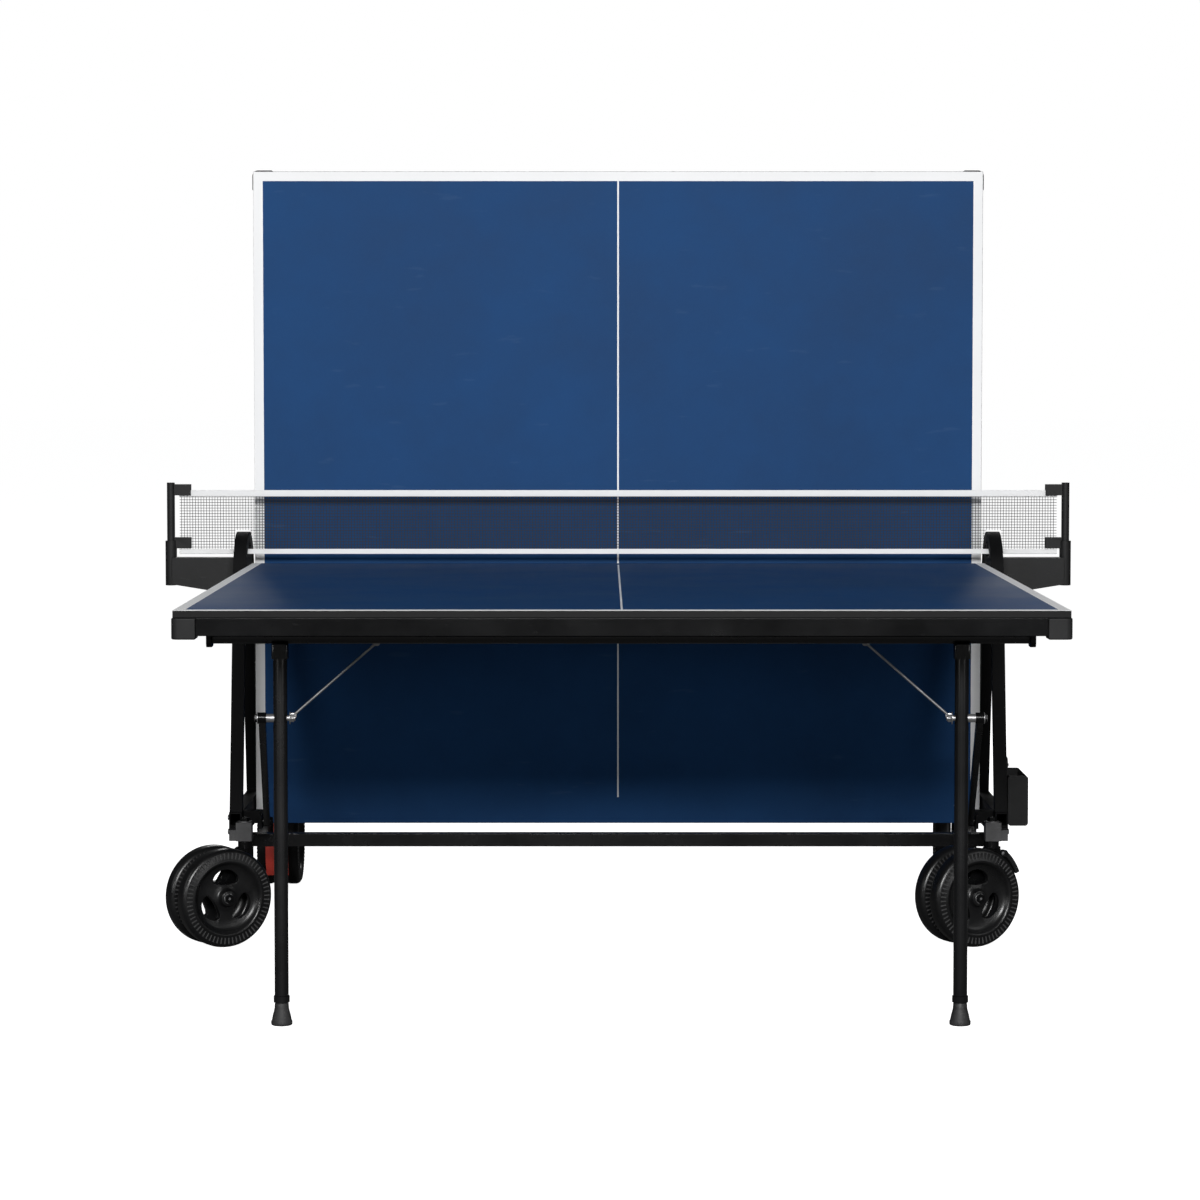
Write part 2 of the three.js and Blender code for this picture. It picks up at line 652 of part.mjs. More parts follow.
function cornerCap(sign) {
  const outerX = HALF_WIDTH + CAP_PROUD;
  const outerY = HALF_LENGTH + CAP_PROUD;
  const shape = new THREE.Shape();
  shape.moveTo(outerX - CAP_SIZE, outerY - CAP_SIZE);
  shape.lineTo(outerX, outerY - CAP_SIZE);
  shape.lineTo(outerX, outerY - CAP_RADIUS);
  shape.absarc(outerX - CAP_RADIUS, outerY - CAP_RADIUS, CAP_RADIUS, 0, Math.PI / 2, false);
  shape.lineTo(outerX - CAP_SIZE, outerY);
  shape.closePath();
  const bottom = RAIL_BOTTOM - CAP_DROP;
  const depth = LIP_TOP - bottom;
  const block = new THREE.ExtrudeGeometry(shape, { depth, bevelEnabled: false, curveSegments: 8 });
  block.translate(0, 0, bottom);
  const seat = box(
    HALF_WIDTH - CAP_SIZE - 10,
    HALF_WIDTH - RAIL_WALL,
    HALF_LENGTH - CAP_SIZE - 10,
    HALF_LENGTH - RAIL_WALL,
    RAIL_TOP,
    LIP_TOP + 10,
  );
  const cap = cut(block, seat);
  return sign > 0 ? cap : mirrored(cap);
}

// The same solid on the other side of the YZ plane
function mirrored(geometry) {
  const copy = geometry.clone().scale(-1, 1, 1);
  const index = copy.index.array;
  for (let i = 0; i < index.length; i += 3) {
    [index[i], index[i + 1]] = [index[i + 1], index[i]];
  }
  return copy;
}

// Leg frame, in a frame whose origin is on its hinge axis
function legCrossbar() {
  const reach = RAIL_INNER - 8 - GAP;
  const braceFoot = LINK_PIN_HEIGHT + 14 - LEG_PIVOT_Z;
  const braceTop = -LEG_RADIUS + 4;
  const legInner = LEG_X - LEG_RADIUS - 14;
  const braces = [-1, 1].map((sign) => {
    const outline = polygon([
      [sign * legInner, braceFoot],
      [sign * legInner, braceFoot + 8],
      [sign * BRACE_X, braceTop],
      [sign * (BRACE_X - 7), braceTop],
    ]);
    return plateXZ(outline, -7, 7);
  });
  return joined(
    rodX(LEG_RADIUS, -reach, reach, 0, 0, 16),
    rodX(PIN_RADIUS + 1, -reach - 8, reach + 8, 0, 0),
    ...braces,
  );
}

function leg(sign) {
  const x = sign * LEG_X;
  const down = (height) => height - LEG_PIVOT_Z;
  const head = LEG_RADIUS + 3;
  const body = joined(
    rodZ(LEG_RADIUS, x, 0, down(FOOT_HEIGHT + GAP), down(LEG_TOP), 20),
    box(x - head, x + head, -head, head, down(LEG_TOP - 4), -LEG_RADIUS - GAP),
    rodX(
      PIN_RADIUS,
      sign * (LEG_X - LEG_RADIUS - 14),
      sign * (LEG_X + LEG_RADIUS + 5),
      0,
      down(LINK_PIN_HEIGHT),
      12,
    ),
    rodX(
      8,
      sign * (LEG_X + LEG_RADIUS - 3),
      sign * (LINK_TOP_X - LINK_THICKNESS / 2 - GAP),
      0,
      down(LINK_PIN_HEIGHT),
      12,
    ),
    rodX(8, sign * (LEG_X - LEG_RADIUS - 10), sign * (LEG_X - LEG_RADIUS + 3), 0, down(LINK_PIN_HEIGHT), 6),
  );
  return cut(
    body,
    rodZ(STUD_RADIUS + PIN_PLAY, x, 0, down(0), down(FOOT_HEIGHT + STUD_LENGTH + 4)),
  );
}

function foot(sign) {
  const profile = [
    [0, 0],
    [FOOT_RADIUS - 1, 0],
    [FOOT_RADIUS, 2],
    [FOOT_RADIUS - 1, 8],
    [LEG_RADIUS + 1, FOOT_HEIGHT - 10],
    [LEG_RADIUS, FOOT_HEIGHT],
    [STUD_RADIUS, FOOT_HEIGHT],
    [STUD_RADIUS, FOOT_HEIGHT + STUD_LENGTH],
    [0, FOOT_HEIGHT + STUD_LENGTH],
  ];
  const geometry = new THREE.LatheGeometry(profile.map(([r, y]) => new THREE.Vector2(r, y)), 16);
  return geometry.rotateX(Math.PI / 2).translate(sign * LEG_X, 0, -LEG_PIVOT_Z);
}

// Swing arm, in a frame whose origin is on its pivot and whose +Y points along the arm
function swingArm(sign) {
  return joined(
    plateYZ(slotShape(ARM_LENGTH, ARM_WIDTH / 2), sign * ARM_INNER, sign * (ARM_INNER + ARM_THICKNESS), 8),
    rodX(PIN_RADIUS, sign * (ARM_INNER + 1), sign * (ARCH_INNER + HINGE_PLATE + GAP), 0, 0),
    rodX(PIN_RADIUS, sign * (HALF_WIDTH - 12), sign * (ARM_INNER + 1), ARM_LENGTH, 0),
  );
}

// Link, in a frame whose origin is on its lower pivot and whose +Y points along the link
function link(sign) {
  const halfThick = LINK_THICKNESS / 2;
  const start = 4;
  const end = LINK_LENGTH - 4;
  const turn = Math.atan2(LINK_TOP_X - LINK_FOOT_X, LINK_LENGTH);
  const length = (end - start) / Math.cos(turn);
  const bar = new THREE.BoxGeometry(LINK_THICKNESS - 3, length, LINK_HEIGHT);
  bar.rotateZ(-sign * turn).translate((sign * (LINK_FOOT_X + LINK_TOP_X)) / 2, LINK_LENGTH / 2, 0);
  const eye = (x, y) => rodX(LINK_EYE_RADIUS, sign * (x - halfThick), sign * (x + halfThick), y, 0, 20);
  const headStart = LINK_TOP_X + halfThick - 1;
  return cut(
    joined(
      bar,
      eye(LINK_FOOT_X, 0),
      eye(LINK_TOP_X, LINK_LENGTH),
      rodX(8, sign * headStart, sign * (headStart + 6), LINK_LENGTH, 0, 6),
    ),
    rodX(PIN_RADIUS + PIN_PLAY, sign * (LINK_FOOT_X - 20), sign * (LINK_FOOT_X + 20), 0, 0),
  );
}

// Outrigger, drawn in to the carriage; level 0 runs in the lower tube, 1 in the upper
function outrigger(sign, level) {
  const play = BASE_WALL + SLIDE_CLEARANCE;
  const clampStart = BASE_HALF + GAP;
  const clampInner = STEM_X - CLAMP_WIDTH / 2 + 1;
  const barBottom = ARCH_FOOT + level * BASE_CELL + play;
  const barTop = ARCH_FOOT + (level + 1) * BASE_CELL - play;
  const body = joined(
    box(
      sign * (ARCH_INNER + play),
      sign * (ARCH_OUTER - play),
      -BASE_HALF + 4,
      clampStart + CLAMP_DEPTH - 2,
      barBottom,
      barTop,
    ),
    box(
      sign * clampInner,
      sign * (clampInner + CLAMP_WIDTH),
      clampStart,
      clampStart + CLAMP_DEPTH,
      CLAMP_BOTTOM,
      CLAMP_TOP,
    ),
  );
  return cut(body, rodZ(STEM_RADIUS + PIN_PLAY, sign * STEM_X, STEM_S, CLAMP_BOTTOM - 5, CLAMP_TOP + 5));
}

function addCaster(parent, label, x, trailTurn, pedal) {
  const caster = new THREE.Group();
  caster.position.set(x, STEM_S, 0);
  caster.rotation.z = trailTurn;
  parent.add(caster);
  addPiece(caster, `${label}_fork`, casterFork(), 'plated');
  for (const [place, offset] of [['a', -WHEEL_SPACING / 2], ['b', WHEEL_SPACING / 2]]) {
    const wheel = casterWheel().translate(TRAIL, offset, WHEEL_RADIUS);
    addPiece(caster, `${label}_wheel_${place}`, wheel, 'tyre');
  }
  if (pedal) {
    addPiece(caster, `${label}_brake_pedal`, brakePedal(pedal), pedal.finish);
  }
}

function addLegFrame(half, name, sides, fold) {
  const frame = addGroup(half, LEG_DISTANCE, LEG_PIVOT_Z, -fold);
  addPiece(frame, `${name}_leg_crossbar`, legCrossbar(), 'black');
  for (const [label, sign] of sides) {
    addPiece(frame, `${name}_leg_${label}`, leg(sign), 'black');
    addPiece(frame, `${name}_foot_${label}`, foot(sign), 'black');
  }
}

// name, how far it is folded (0 in play, a quarter turn when upright), how it is turned
// about Z, and for each caster the turn of its trail and its pedal's finish
function addSide(table, { name, fold, turn, level, casters }) {
  const side = new THREE.Group();
  side.rotation.z = turn;
  table.add(side);
  const sides = turn === 0 ? [['left', -1], ['right', 1]] : [['left', 1], ['right', -1]];
  const progress = fold / (Math.PI / 2);

  const arms = addGroup(side, ARM_S, ARM_Z, ARM_TILT - fold);
  const joint = addGroup(arms, ARM_LENGTH, 0, 2 * fold - ARM_TILT);
  const half = addGroup(joint, -RAIL_PIN_S, -(SURFACE_HEIGHT - ARM_PIN_DEPTH));
  const linkTurn = LINK_ANGLE_OPEN + (LINK_ANGLE_STOWED - LINK_ANGLE_OPEN) * progress;
  const links = addGroup(side, LINK_FOOT.x, LINK_FOOT.y, linkTurn);
  const outriggers = addGroup(side, OUTRIGGER_TRAVEL * progress);

  addPiece(half, `${name}_top`, top(), 'surface');
  addPiece(half, `${name}_end_rail`, endRail(), 'frame');
  addPiece(half, `${name}_net_rail`, netRail(), 'frame');
  addLegFrame(half, name, sides, fold);
  for (const [label, sign] of sides) {
    addPiece(half, `${name}_side_rail_${label}`, sideRail(sign), 'frame');
    addPiece(half, `${name}_corner_cap_${label}`, cornerCap(sign), 'moulded');
    addPiece(arms, `${name}_swing_arm_${label}`, swingArm(sign), 'black');
    addPiece(links, `${name}_link_${label}`, link(sign), 'black');
    addPiece(outriggers, `${name}_outrigger_${label}`, outrigger(sign, level), 'plated');
    const { trailTurn, pedal } = casters[label];
    addCaster(outriggers, `${name}_caster_${label}`, sign * STEM_X, trailTurn - turn, pedal);
  }
}

// ---- The whole table ------------------------------------------------------------------

const degrees = THREE.MathUtils.degToRad;
const table = new THREE.Group();

const RIM = TRAIL - WHEEL_RADIUS; // the wheels' side next to a pedal

// One brake is off, with its pedal up, and one is on, with its pedal down along the rim.
const RAISED_PEDAL = {
  finish: 'black',
  neck: [
    [-18, WHEEL_TOP - 13],
    [-31, WHEEL_TOP - 13],
    [-46, WHEEL_TOP - 32],
    [-34, WHEEL_TOP - 44],
    [-22, WHEEL_TOP - 28],
    [-18, WHEEL_TOP - 26],
  ],
  inner: WHEEL_RADIUS + 10,
  from: degrees(136),
  to: degrees(158),
};
const LOWERED_PEDAL = {
  finish: 'red',
  neck: [
    [-18, WHEEL_TOP - 13],
    [-31, WHEEL_TOP - 13],
    [RIM - 13, WHEEL_RADIUS + 50],
    [RIM - 16, WHEEL_RADIUS + 10],
    [RIM - 6, WHEEL_RADIUS + 10],
    [RIM - 1, WHEEL_RADIUS + 46],
    [-18, WHEEL_TOP - 28],
  ],
  inner: WHEEL_RADIUS + 4,
  from: degrees(171),
  to: degrees(218),
};

for (const [label, sign] of [['left', -1], ['right', 1]]) {
  addPiece(table, `arch_${label}`, arch(sign), 'frame');
  addPiece(table, `net_arm_${label}`, netArm(sign), 'moulded');
  addPiece(table, `net_post_${label}`, netPost(sign), 'moulded');
}
addPiece(table, 'crossbeam', crossbeam(), 'black');
addPiece(table, 'net', net(), 'net');
addPiece(table, 'ball_holder', ballHolder(), 'black');

addSide(table, {
  name: 'near',
  fold: 0,
  turn: Math.PI,
  level: 0,
  casters: {
    left: { trailTurn: degrees(212) },
    right: { trailTurn: degrees(207), pedal: RAISED_PEDAL },
  },
});
addSide(table, {
  name: 'far',
  fold: Math.PI / 2,
  turn: 0,
  level: 1,
  casters: {
    left: { trailTurn: degrees(90), pedal: LOWERED_PEDAL },
    right: { trailTurn: degrees(86) },
  },
});

const bounds = new THREE.Box3().setFromObject(table);
table.position.set(-(bounds.min.x + bounds.max.x) / 2, -(bounds.min.y + bounds.max.y) / 2, -bounds.min.z);

const pingPongTable = new THREE.Group();
pingPongTable.add(table);

export default pingPongTable;
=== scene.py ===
import json
import math

import bmesh
import bpy
from mathutils import Matrix, Vector


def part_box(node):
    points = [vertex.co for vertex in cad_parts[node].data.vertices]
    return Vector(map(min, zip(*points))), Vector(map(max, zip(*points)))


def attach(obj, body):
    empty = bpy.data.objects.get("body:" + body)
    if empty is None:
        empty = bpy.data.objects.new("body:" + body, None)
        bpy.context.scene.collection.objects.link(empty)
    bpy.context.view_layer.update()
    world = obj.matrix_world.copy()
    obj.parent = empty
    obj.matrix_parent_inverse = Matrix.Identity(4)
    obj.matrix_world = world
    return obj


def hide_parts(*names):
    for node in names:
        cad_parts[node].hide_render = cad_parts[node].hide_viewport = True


bl_info = {
    "name": "Ping Pong Table",
    "version": (1, 0, 0),
    "blender": (4, 5, 0),
    "location": "View3D > Sidebar > Table",
    "description": "Dresses a folding ping pong table on its wheeled carriage",
    "category": "Object",
}

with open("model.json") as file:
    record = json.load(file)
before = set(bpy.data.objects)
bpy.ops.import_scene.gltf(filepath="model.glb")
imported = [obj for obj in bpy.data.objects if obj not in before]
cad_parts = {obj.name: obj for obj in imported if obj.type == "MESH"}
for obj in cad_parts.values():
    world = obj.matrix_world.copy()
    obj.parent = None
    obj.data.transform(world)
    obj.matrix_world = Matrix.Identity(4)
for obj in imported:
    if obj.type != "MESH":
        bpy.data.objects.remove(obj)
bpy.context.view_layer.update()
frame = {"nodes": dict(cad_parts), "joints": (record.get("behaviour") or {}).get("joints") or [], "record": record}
JOINTS = {joint["name"]: joint for joint in frame["joints"]}
BODY_OF = {
    node: body
    for body, nodes in frame["record"]["behaviour"]["bodies"].items()
    for node in nodes
}
SIDES = ("near", "far")
HANDS = (("left", -1), ("right", 1))
NET_LOW, NET_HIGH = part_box("net")
NET_PLANE = (NET_LOW[1] + NET_HIGH[1]) / 2

# Sizes in metres
LEG_X = 0.6045
TUBE_RADIUS = 0.0125
PIN_DROP = 0.145  # from a leg's hinge to the link's pin on the leg
BRACE_TOP_X = 0.434
BRACE_RADIUS = 0.0022
LINK_BOLT_X = 0.6505
WHEEL_FACE = 0.0188  # from a wheel's middle to its axle bolt
FLOOR_REACH = 60.0
CAMERA_PLACE = (-0.0343, -6.9953, 1.1893)
CAMERA_YAW = math.radians(0.027)
CAMERA_SHIFT = -0.05

SMOOTH_BELOW = math.radians(32)  # edges flatter than this are shaded smooth


# ---- Shared shading effects ------------------------------------------------------------


def socket(tree, name, direction, kind, default=None):
    made = tree.interface.new_socket(name=name, in_out=direction, socket_type=kind)
    if default is not None:
        made.default_value = default
    return made


class Nodes:
    """Adds nodes to a tree and joins them."""

    def __init__(self, tree):
        self.tree = tree

    def add(self, kind, inputs=None, **settings):
        node = self.tree.nodes.new(kind)
        for key, value in settings.items():
            setattr(node, key, value)
        for key, value in (inputs or {}).items():
            if isinstance(value, bpy.types.NodeSocket):
                self.tree.links.new(value, node.inputs[key])
            else:
                node.inputs[key].default_value = value
        return node

    def math(self, operation, a, b=0.0, clamp=False):
        node = self.add("ShaderNodeMath", {0: a, 1: b}, operation=operation, use_clamp=clamp)
        return node.outputs[0]

    def ramp(self, value, low, high):
        node = self.add(
            "ShaderNodeMapRange", {"Value": value, "From Min": low, "From Max": high}
        )
        return node.outputs["Result"]

    def between(self, value, low, high):
        node = self.add("ShaderNodeMapRange", {"Value": value, "To Min": low, "To Max": high})
        return node.outputs["Result"]

    def mix(self, factor, first, second):
        node = self.add("ShaderNodeMix", data_type="RGBA")
        for index, value in ((0, factor), (6, first), (7, second)):
            if isinstance(value, bpy.types.NodeSocket):
                self.tree.links.new(value, node.inputs[index])
            else:
                node.inputs[index].default_value = value
        return node.outputs[2]


def new_group(name, inputs, outputs):
    tree = bpy.data.node_groups.new(name, "ShaderNodeTree")
    for label, kind, default in inputs:
        socket(tree, label, "INPUT", kind, default)
    for label, kind in outputs:
        socket(tree, label, "OUTPUT", kind)
    nodes = Nodes(tree)
    start = tree.nodes.new("NodeGroupInput")
    end = tree.nodes.new("NodeGroupOutput")
    return tree, nodes, start.outputs, end.inputs


def grain_group():
    """Fine grain and broad uneven patches, as on coated or moulded parts."""
    tree, nodes, given, out = new_group(
        "grain_and_patches",
        [
            ("Vector", "NodeSocketVector", None),
            ("Grain Scale", "NodeSocketFloat", 900.0),
            ("Patch Scale", "NodeSocketFloat", 9.0),
        ],
        [("Grain", "NodeSocketFloat"), ("Patches", "NodeSocketFloat")],
    )
    grain = nodes.add(
        "ShaderNodeTexNoise",
        {"Vector": given["Vector"], "Scale": given["Grain Scale"], "Detail": 3.0, "Roughness": 0.6},
    )
    patches = nodes.add(
        "ShaderNodeTexNoise",
        {
            "Vector": given["Vector"],
            "Scale": given["Patch Scale"],
            "Detail": 5.0,
            "Roughness": 0.62,
        },
    )
    tree.links.new(nodes.ramp(grain.outputs["Fac"], 0.3, 0.7), out["Grain"])
    tree.links.new(nodes.ramp(patches.outputs["Fac"], 0.32, 0.68), out["Patches"])
    return tree


def scratch_group():
    """Thin scattered scratches and specks of dust."""
    tree, nodes, given, out = new_group(
        "scratches_and_dust",
        [("Vector", "NodeSocketVector", None), ("Scale", "NodeSocketFloat", 30.0)],
        [("Scratches", "NodeSocketFloat"), ("Dust", "NodeSocketFloat")],
    )
    bent = nodes.add(
        "ShaderNodeMapping",
        {"Vector": given["Vector"], "Rotation": (0.4, 0.9, 0.3), "Scale": (1.0, 14.0, 5.0)},
    )
    lines = nodes.add(
        "ShaderNodeTexNoise",
        {"Vector": bent.outputs[0], "Scale": given["Scale"], "Detail": 2.0},
    )
    fine = nodes.math("MULTIPLY", given["Scale"], 14.0)
    dust = nodes.add(
        "ShaderNodeTexNoise", {"Vector": given["Vector"], "Scale": fine, "Detail": 4.0}
    )
    tree.links.new(nodes.ramp(lines.outputs["Fac"], 0.68, 0.74), out["Scratches"])
    tree.links.new(nodes.ramp(dust.outputs["Fac"], 0.58, 0.75), out["Dust"])
    return tree


def court_group():
    """White lines on one half: across is the distance from its middle, along from the net."""
    tree, nodes, given, out = new_group(
        "court_lines",
        [
            ("Across", "NodeSocketFloat", 0.0),
            ("Along", "NodeSocketFloat", 0.0),
            ("Side Line Starts", "NodeSocketFloat", 0.7425),
            ("End Line Starts", "NodeSocketFloat", 1.35),
            ("Centre Half Width", "NodeSocketFloat", 0.0015),
            ("Centre Starts", "NodeSocketFloat", 0.06),
        ],
        [("Lines", "NodeSocketFloat")],
    )
    side = nodes.math("GREATER_THAN", given["Across"], given["Side Line Starts"])
    end = nodes.math("GREATER_THAN", given["Along"], given["End Line Starts"])
    thin = nodes.math("LESS_THAN", given["Across"], given["Centre Half Width"])
    begun = nodes.math("GREATER_THAN", given["Along"], given["Centre Starts"])
    centre = nodes.math("MULTIPLY", thin, begun)
    edges = nodes.math("MAXIMUM", side, end)
    tree.links.new(nodes.math("MAXIMUM", edges, centre), out["Lines"])
    return tree


EFFECTS = {"grain": grain_group, "scratches": scratch_group, "court": court_group}
GROUPS = {}


def effect(nodes, name, **inputs):
    if name not in GROUPS:
        GROUPS[name] = EFFECTS[name]()
    node = nodes.add("ShaderNodeGroup", node_tree=GROUPS[name])
    for key, value in inputs.items():
        target = node.inputs[key.replace("_", " ")]
        if isinstance(value, bpy.types.NodeSocket):
            nodes.tree.links.new(value, target)
        else:
            target.default_value = value
    return node.outputs


# ---- Materials ---------------------------------------------------------------------------

MATERIALS = {}


def blank_material(name):
    material = bpy.data.materials.new(name)
    material.use_nodes = True
    tree = material.node_tree
    shader = next(node for node in tree.nodes if node.type == "BSDF_PRINCIPLED")
    nodes = Nodes(tree)
    place = nodes.add("ShaderNodeTexCoord").outputs["Object"]
    return material, nodes, shader, place


def surface_finish(
    name,
    colour,
    roughness,
    metallic=0.0,
    grain_scale=900.0,
    grain_depth=0.00004,
    patch_scale=9.0,
    tone=0.22,
    scratched=0.12,
    dust=0.0,
    specular=0.5,
):
    """A material with uneven tone, fine grain, scratches and dust."""
    if name in MATERIALS:
        return MATERIALS[name]
    material, nodes, shader, place = blank_material(name)
    grain = effect(nodes, "grain", Vector=place, Grain_Scale=grain_scale, Patch_Scale=patch_scale)
    worn = effect(nodes, "scratches", Vector=place)
    dark = [channel * (1 - tone) for channel in colour] + [1.0]
    light = [min(1.0, channel * (1 + tone)) for channel in colour] + [1.0]
    scuffed = [min(1.0, channel * 1.7 + 0.03) for channel in colour] + [1.0]
    tint = nodes.mix(grain["Patches"], dark, light)
    tint = nodes.mix(nodes.math("MULTIPLY", worn["Scratches"], scratched), tint, scuffed)
    if dust:
        tint = nodes.mix(nodes.math("MULTIPLY", worn["Dust"], dust), tint, (0.32, 0.31, 0.29, 1.0))
    link = nodes.tree.links.new
    link(tint, shader.inputs["Base Color"])
    spread = nodes.between(grain["Patches"], roughness * 0.85, min(1.0, roughness * 1.18))
    link(spread, shader.inputs["Roughness"])
    bump = nodes.add("ShaderNodeBump", {"Height": grain["Grain"], "Distance": grain_depth})
    bump.inputs["Strength"].default_value = 0.6
    link(bump.outputs["Normal"], shader.inputs["Normal"])
    shader.inputs["Metallic"].default_value = metallic
    shader.inputs["Specular IOR Level"].default_value = specular
    MATERIALS[name] = material
    return material


FINISHES = {
    "frame_powder_coat": {
        "colour": (0.0034, 0.0035, 0.0038),
        "roughness": 0.24,
        "grain_scale": 1100.0,
        "grain_depth": 0.00006,
        "patch_scale": 7.0,
        "tone": 0.25,
        "specular": 0.22,
    },
    "arch_powder_coat": {
        "colour": (0.0062, 0.0063, 0.0067),
        "roughness": 0.6,
        "grain_scale": 1100.0,
        "grain_depth": 0.00006,
        "patch_scale": 7.0,
        "tone": 0.25,
        "specular": 0.05,
    },
    "leg_gloss_coat": {
        "colour": (0.0036, 0.0037, 0.0042),
        "roughness": 0.26,
        "grain_scale": 700.0,
        "grain_depth": 0.00003,
        "patch_scale": 6.0,
        "tone": 0.2,
        "scratched": 0.1,
        "specular": 0.7,
    },
    "moulded_plastic": {
        "colour": (0.0135, 0.0137, 0.0142),
        "roughness": 0.46,
        "grain_scale": 1500.0,
        "grain_depth": 0.00007,
        "patch_scale": 12.0,
        "tone": 0.2,
        "scratched": 0.16,
        "dust": 0.02,
        "specular": 0.2,
    },
    "zinc_plate": {
        "colour": (0.34, 0.34, 0.345),
        "roughness": 0.36,
        "metallic": 0.8,
        "grain_scale": 1300.0,
        "grain_depth": 0.00003,
        "patch_scale": 22.0,
        "tone": 0.2,
        "scratched": 0.3,
    },
    "dull_zinc": {
        "colour": (0.09, 0.09, 0.092),
        "roughness": 0.48,
        "metallic": 0.7,
        "grain_depth": 0.00005,
        "patch_scale": 18.0,
        "tone": 0.25,
        "scratched": 0.25,
        "dust": 0.05,
        "specular": 0.3,
    },
    "wheel_plastic": {
        "colour": (0.006, 0.0061, 0.0065),
        "roughness": 0.3,
        "grain_scale": 1200.0,
        "grain_depth": 0.00005,
        "patch_scale": 16.0,
        "tone": 0.25,
        "scratched": 0.15,
        "dust": 0.02,
    },
    "wheel_rubber": {
        "colour": (0.045, 0.045, 0.046),
        "roughness": 0.68,
        "grain_scale": 1000.0,
        "grain_depth": 0.00009,
        "patch_scale": 20.0,
        "tone": 0.3,
        "scratched": 0.2,
        "dust": 0.16,
    },
    "pedal_plastic": {
        "colour": (0.72, 0.075, 0.055),
        "roughness": 0.42,
        "grain_scale": 1300.0,
        "grain_depth": 0.00006,
        "patch_scale": 14.0,
        "tone": 0.18,
        "scratched": 0.2,
        "dust": 0.05,
    },
    "board_underside": {
        "colour": (0.008, 0.008, 0.0083),
        "roughness": 0.5,
        "grain_scale": 500.0,
        "grain_depth": 0.00006,
        "patch_scale": 5.0,
        "tone": 0.15,
        "scratched": 0.1,
        "dust": 0.02,
        "specular": 0.15,
    },
    "foot_rubber": {
        "colour": (0.02, 0.02, 0.021),
        "roughness": 0.6,
        "grain_depth": 0.00008,
        "patch_scale": 18.0,
        "tone": 0.3,
        "scratched": 0.15,
        "dust": 0.18,
    },
}


def finish(name):
    return surface_finish(name, **FINISHES[name])


def board_paint(side, looks):
    """Rolled blue paint with its court lines."""
    name = f"{side}_board_paint"
    if name in MATERIALS:
        return MATERIALS[name]
    material, nodes, shader, place = blank_material(name)
    parts = nodes.add("ShaderNodeSeparateXYZ", {"Vector": place}).outputs
    across = nodes.math("ABSOLUTE", parts["X"])
    low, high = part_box(f"{side}_top")
    if side == "near":
        along = nodes.math("SUBTRACT", high[1], parts["Y"])
        length = high[1] - low[1]
    else:
        along = nodes.math("SUBTRACT", parts["Z"], low[2])
        length = high[2] - low[2]
    lines = effect(
        nodes,
        "court",
        Across=across,
        Along=along,
        Side_Line_Starts=high[0] - looks.line_width,
        End_Line_Starts=length - looks.line_width,
        Centre_Half_Width=looks.centre_width / 2,
        Centre_Starts=looks.centre_start,
    )["Lines"]
    grain = effect(nodes, "grain", Vector=place, Grain_Scale=420.0, Patch_Scale=3.2)
    worn = effect(nodes, "scratches", Vector=place, Scale=11.0)
    blue = list(looks.board_blue)
    deep = [channel * 0.86 for channel in blue] + [1.0]
    pale = [channel * 1.12 for channel in blue] + [1.0]
    tint = nodes.mix(grain["Patches"], deep, pale)
    tint = nodes.mix(nodes.math("MULTIPLY", grain["Grain"], 0.14), tint, (0.025, 0.085, 0.2, 1.0))
    tint = nodes.mix(nodes.math("MULTIPLY", worn["Scratches"], 0.05), tint, (0.16, 0.24, 0.36, 1.0))
    white = nodes.mix(grain["Patches"], (0.9, 0.905, 0.91, 1.0), (0.95, 0.955, 0.96, 1.0))
    link = nodes.tree.links.new
    link(nodes.mix(lines, tint, white), shader.inputs["Base Color"])
    link(nodes.between(grain["Patches"], 0.5, 0.6), shader.inputs["Roughness"])
    height = nodes.math("ADD", grain["Grain"], nodes.math("MULTIPLY", lines, 0.8))
    bump = nodes.add("ShaderNodeBump", {"Height": height, "Distance": 0.00005})
    bump.inputs["Strength"].default_value = 0.5
    link(bump.outputs["Normal"], shader.inputs["Normal"])
    shader.inputs["Specular IOR Level"].default_value = 0.08
    MATERIALS[name] = material
    return material


WAVE_SCALE = 0.31  # makes one wave of the texture as long as the pitch


def woven(name, colour, pitch, roughness):
    """Plain weave for tape and thread, with painted shade in the hollows between the threads."""
    if name in MATERIALS:
        return MATERIALS[name]
    material, nodes, shader, place = blank_material(name)
    waves = []
    for direction in ("X", "Z"):
        wave = nodes.add(
            "ShaderNodeTexWave",
            {"Vector": place, "Scale": WAVE_SCALE / pitch, "Distortion": 0.4},
            bands_direction=direction,
        )
        waves.append(wave.outputs["Fac"])
    weave = nodes.math("MULTIPLY", *waves)
    grain = effect(nodes, "grain", Vector=place, Grain_Scale=1600.0, Patch_Scale=14.0)
    # painted shade: the hollows between the threads are drawn 10% darker than the yarn
    dark = [channel * 0.9 for channel in colour] + [1.0]
    link = nodes.tree.links.new
    tint = nodes.mix(weave, dark, list(colour) + [1.0])
    shade = nodes.math("MULTIPLY", grain["Patches"], 0.12)
    worn = [channel * 0.72 for channel in colour] + [1.0]
    link(nodes.mix(shade, tint, worn), shader.inputs["Base Color"])
    spread = nodes.between(grain["Grain"], roughness - 0.06, roughness + 0.06)
    link(spread, shader.inputs["Roughness"])
    bump = nodes.add("ShaderNodeBump", {"Height": weave, "Distance": 0.00015})
    link(bump.outputs["Normal"], shader.inputs["Normal"])
    shader.inputs["Sheen Weight"].default_value = 0.15
    MATERIALS[name] = material
    return material


# ---- Mesh building -----------------------------------------------------------------------


def facing(position, axis):
    """Places a shape made about its own Z axis at position, along axis."""
    turn = Vector(axis).to_track_quat("Z", "Y").to_matrix().to_4x4()
    return Matrix.Translation(Vector(position)) @ turn


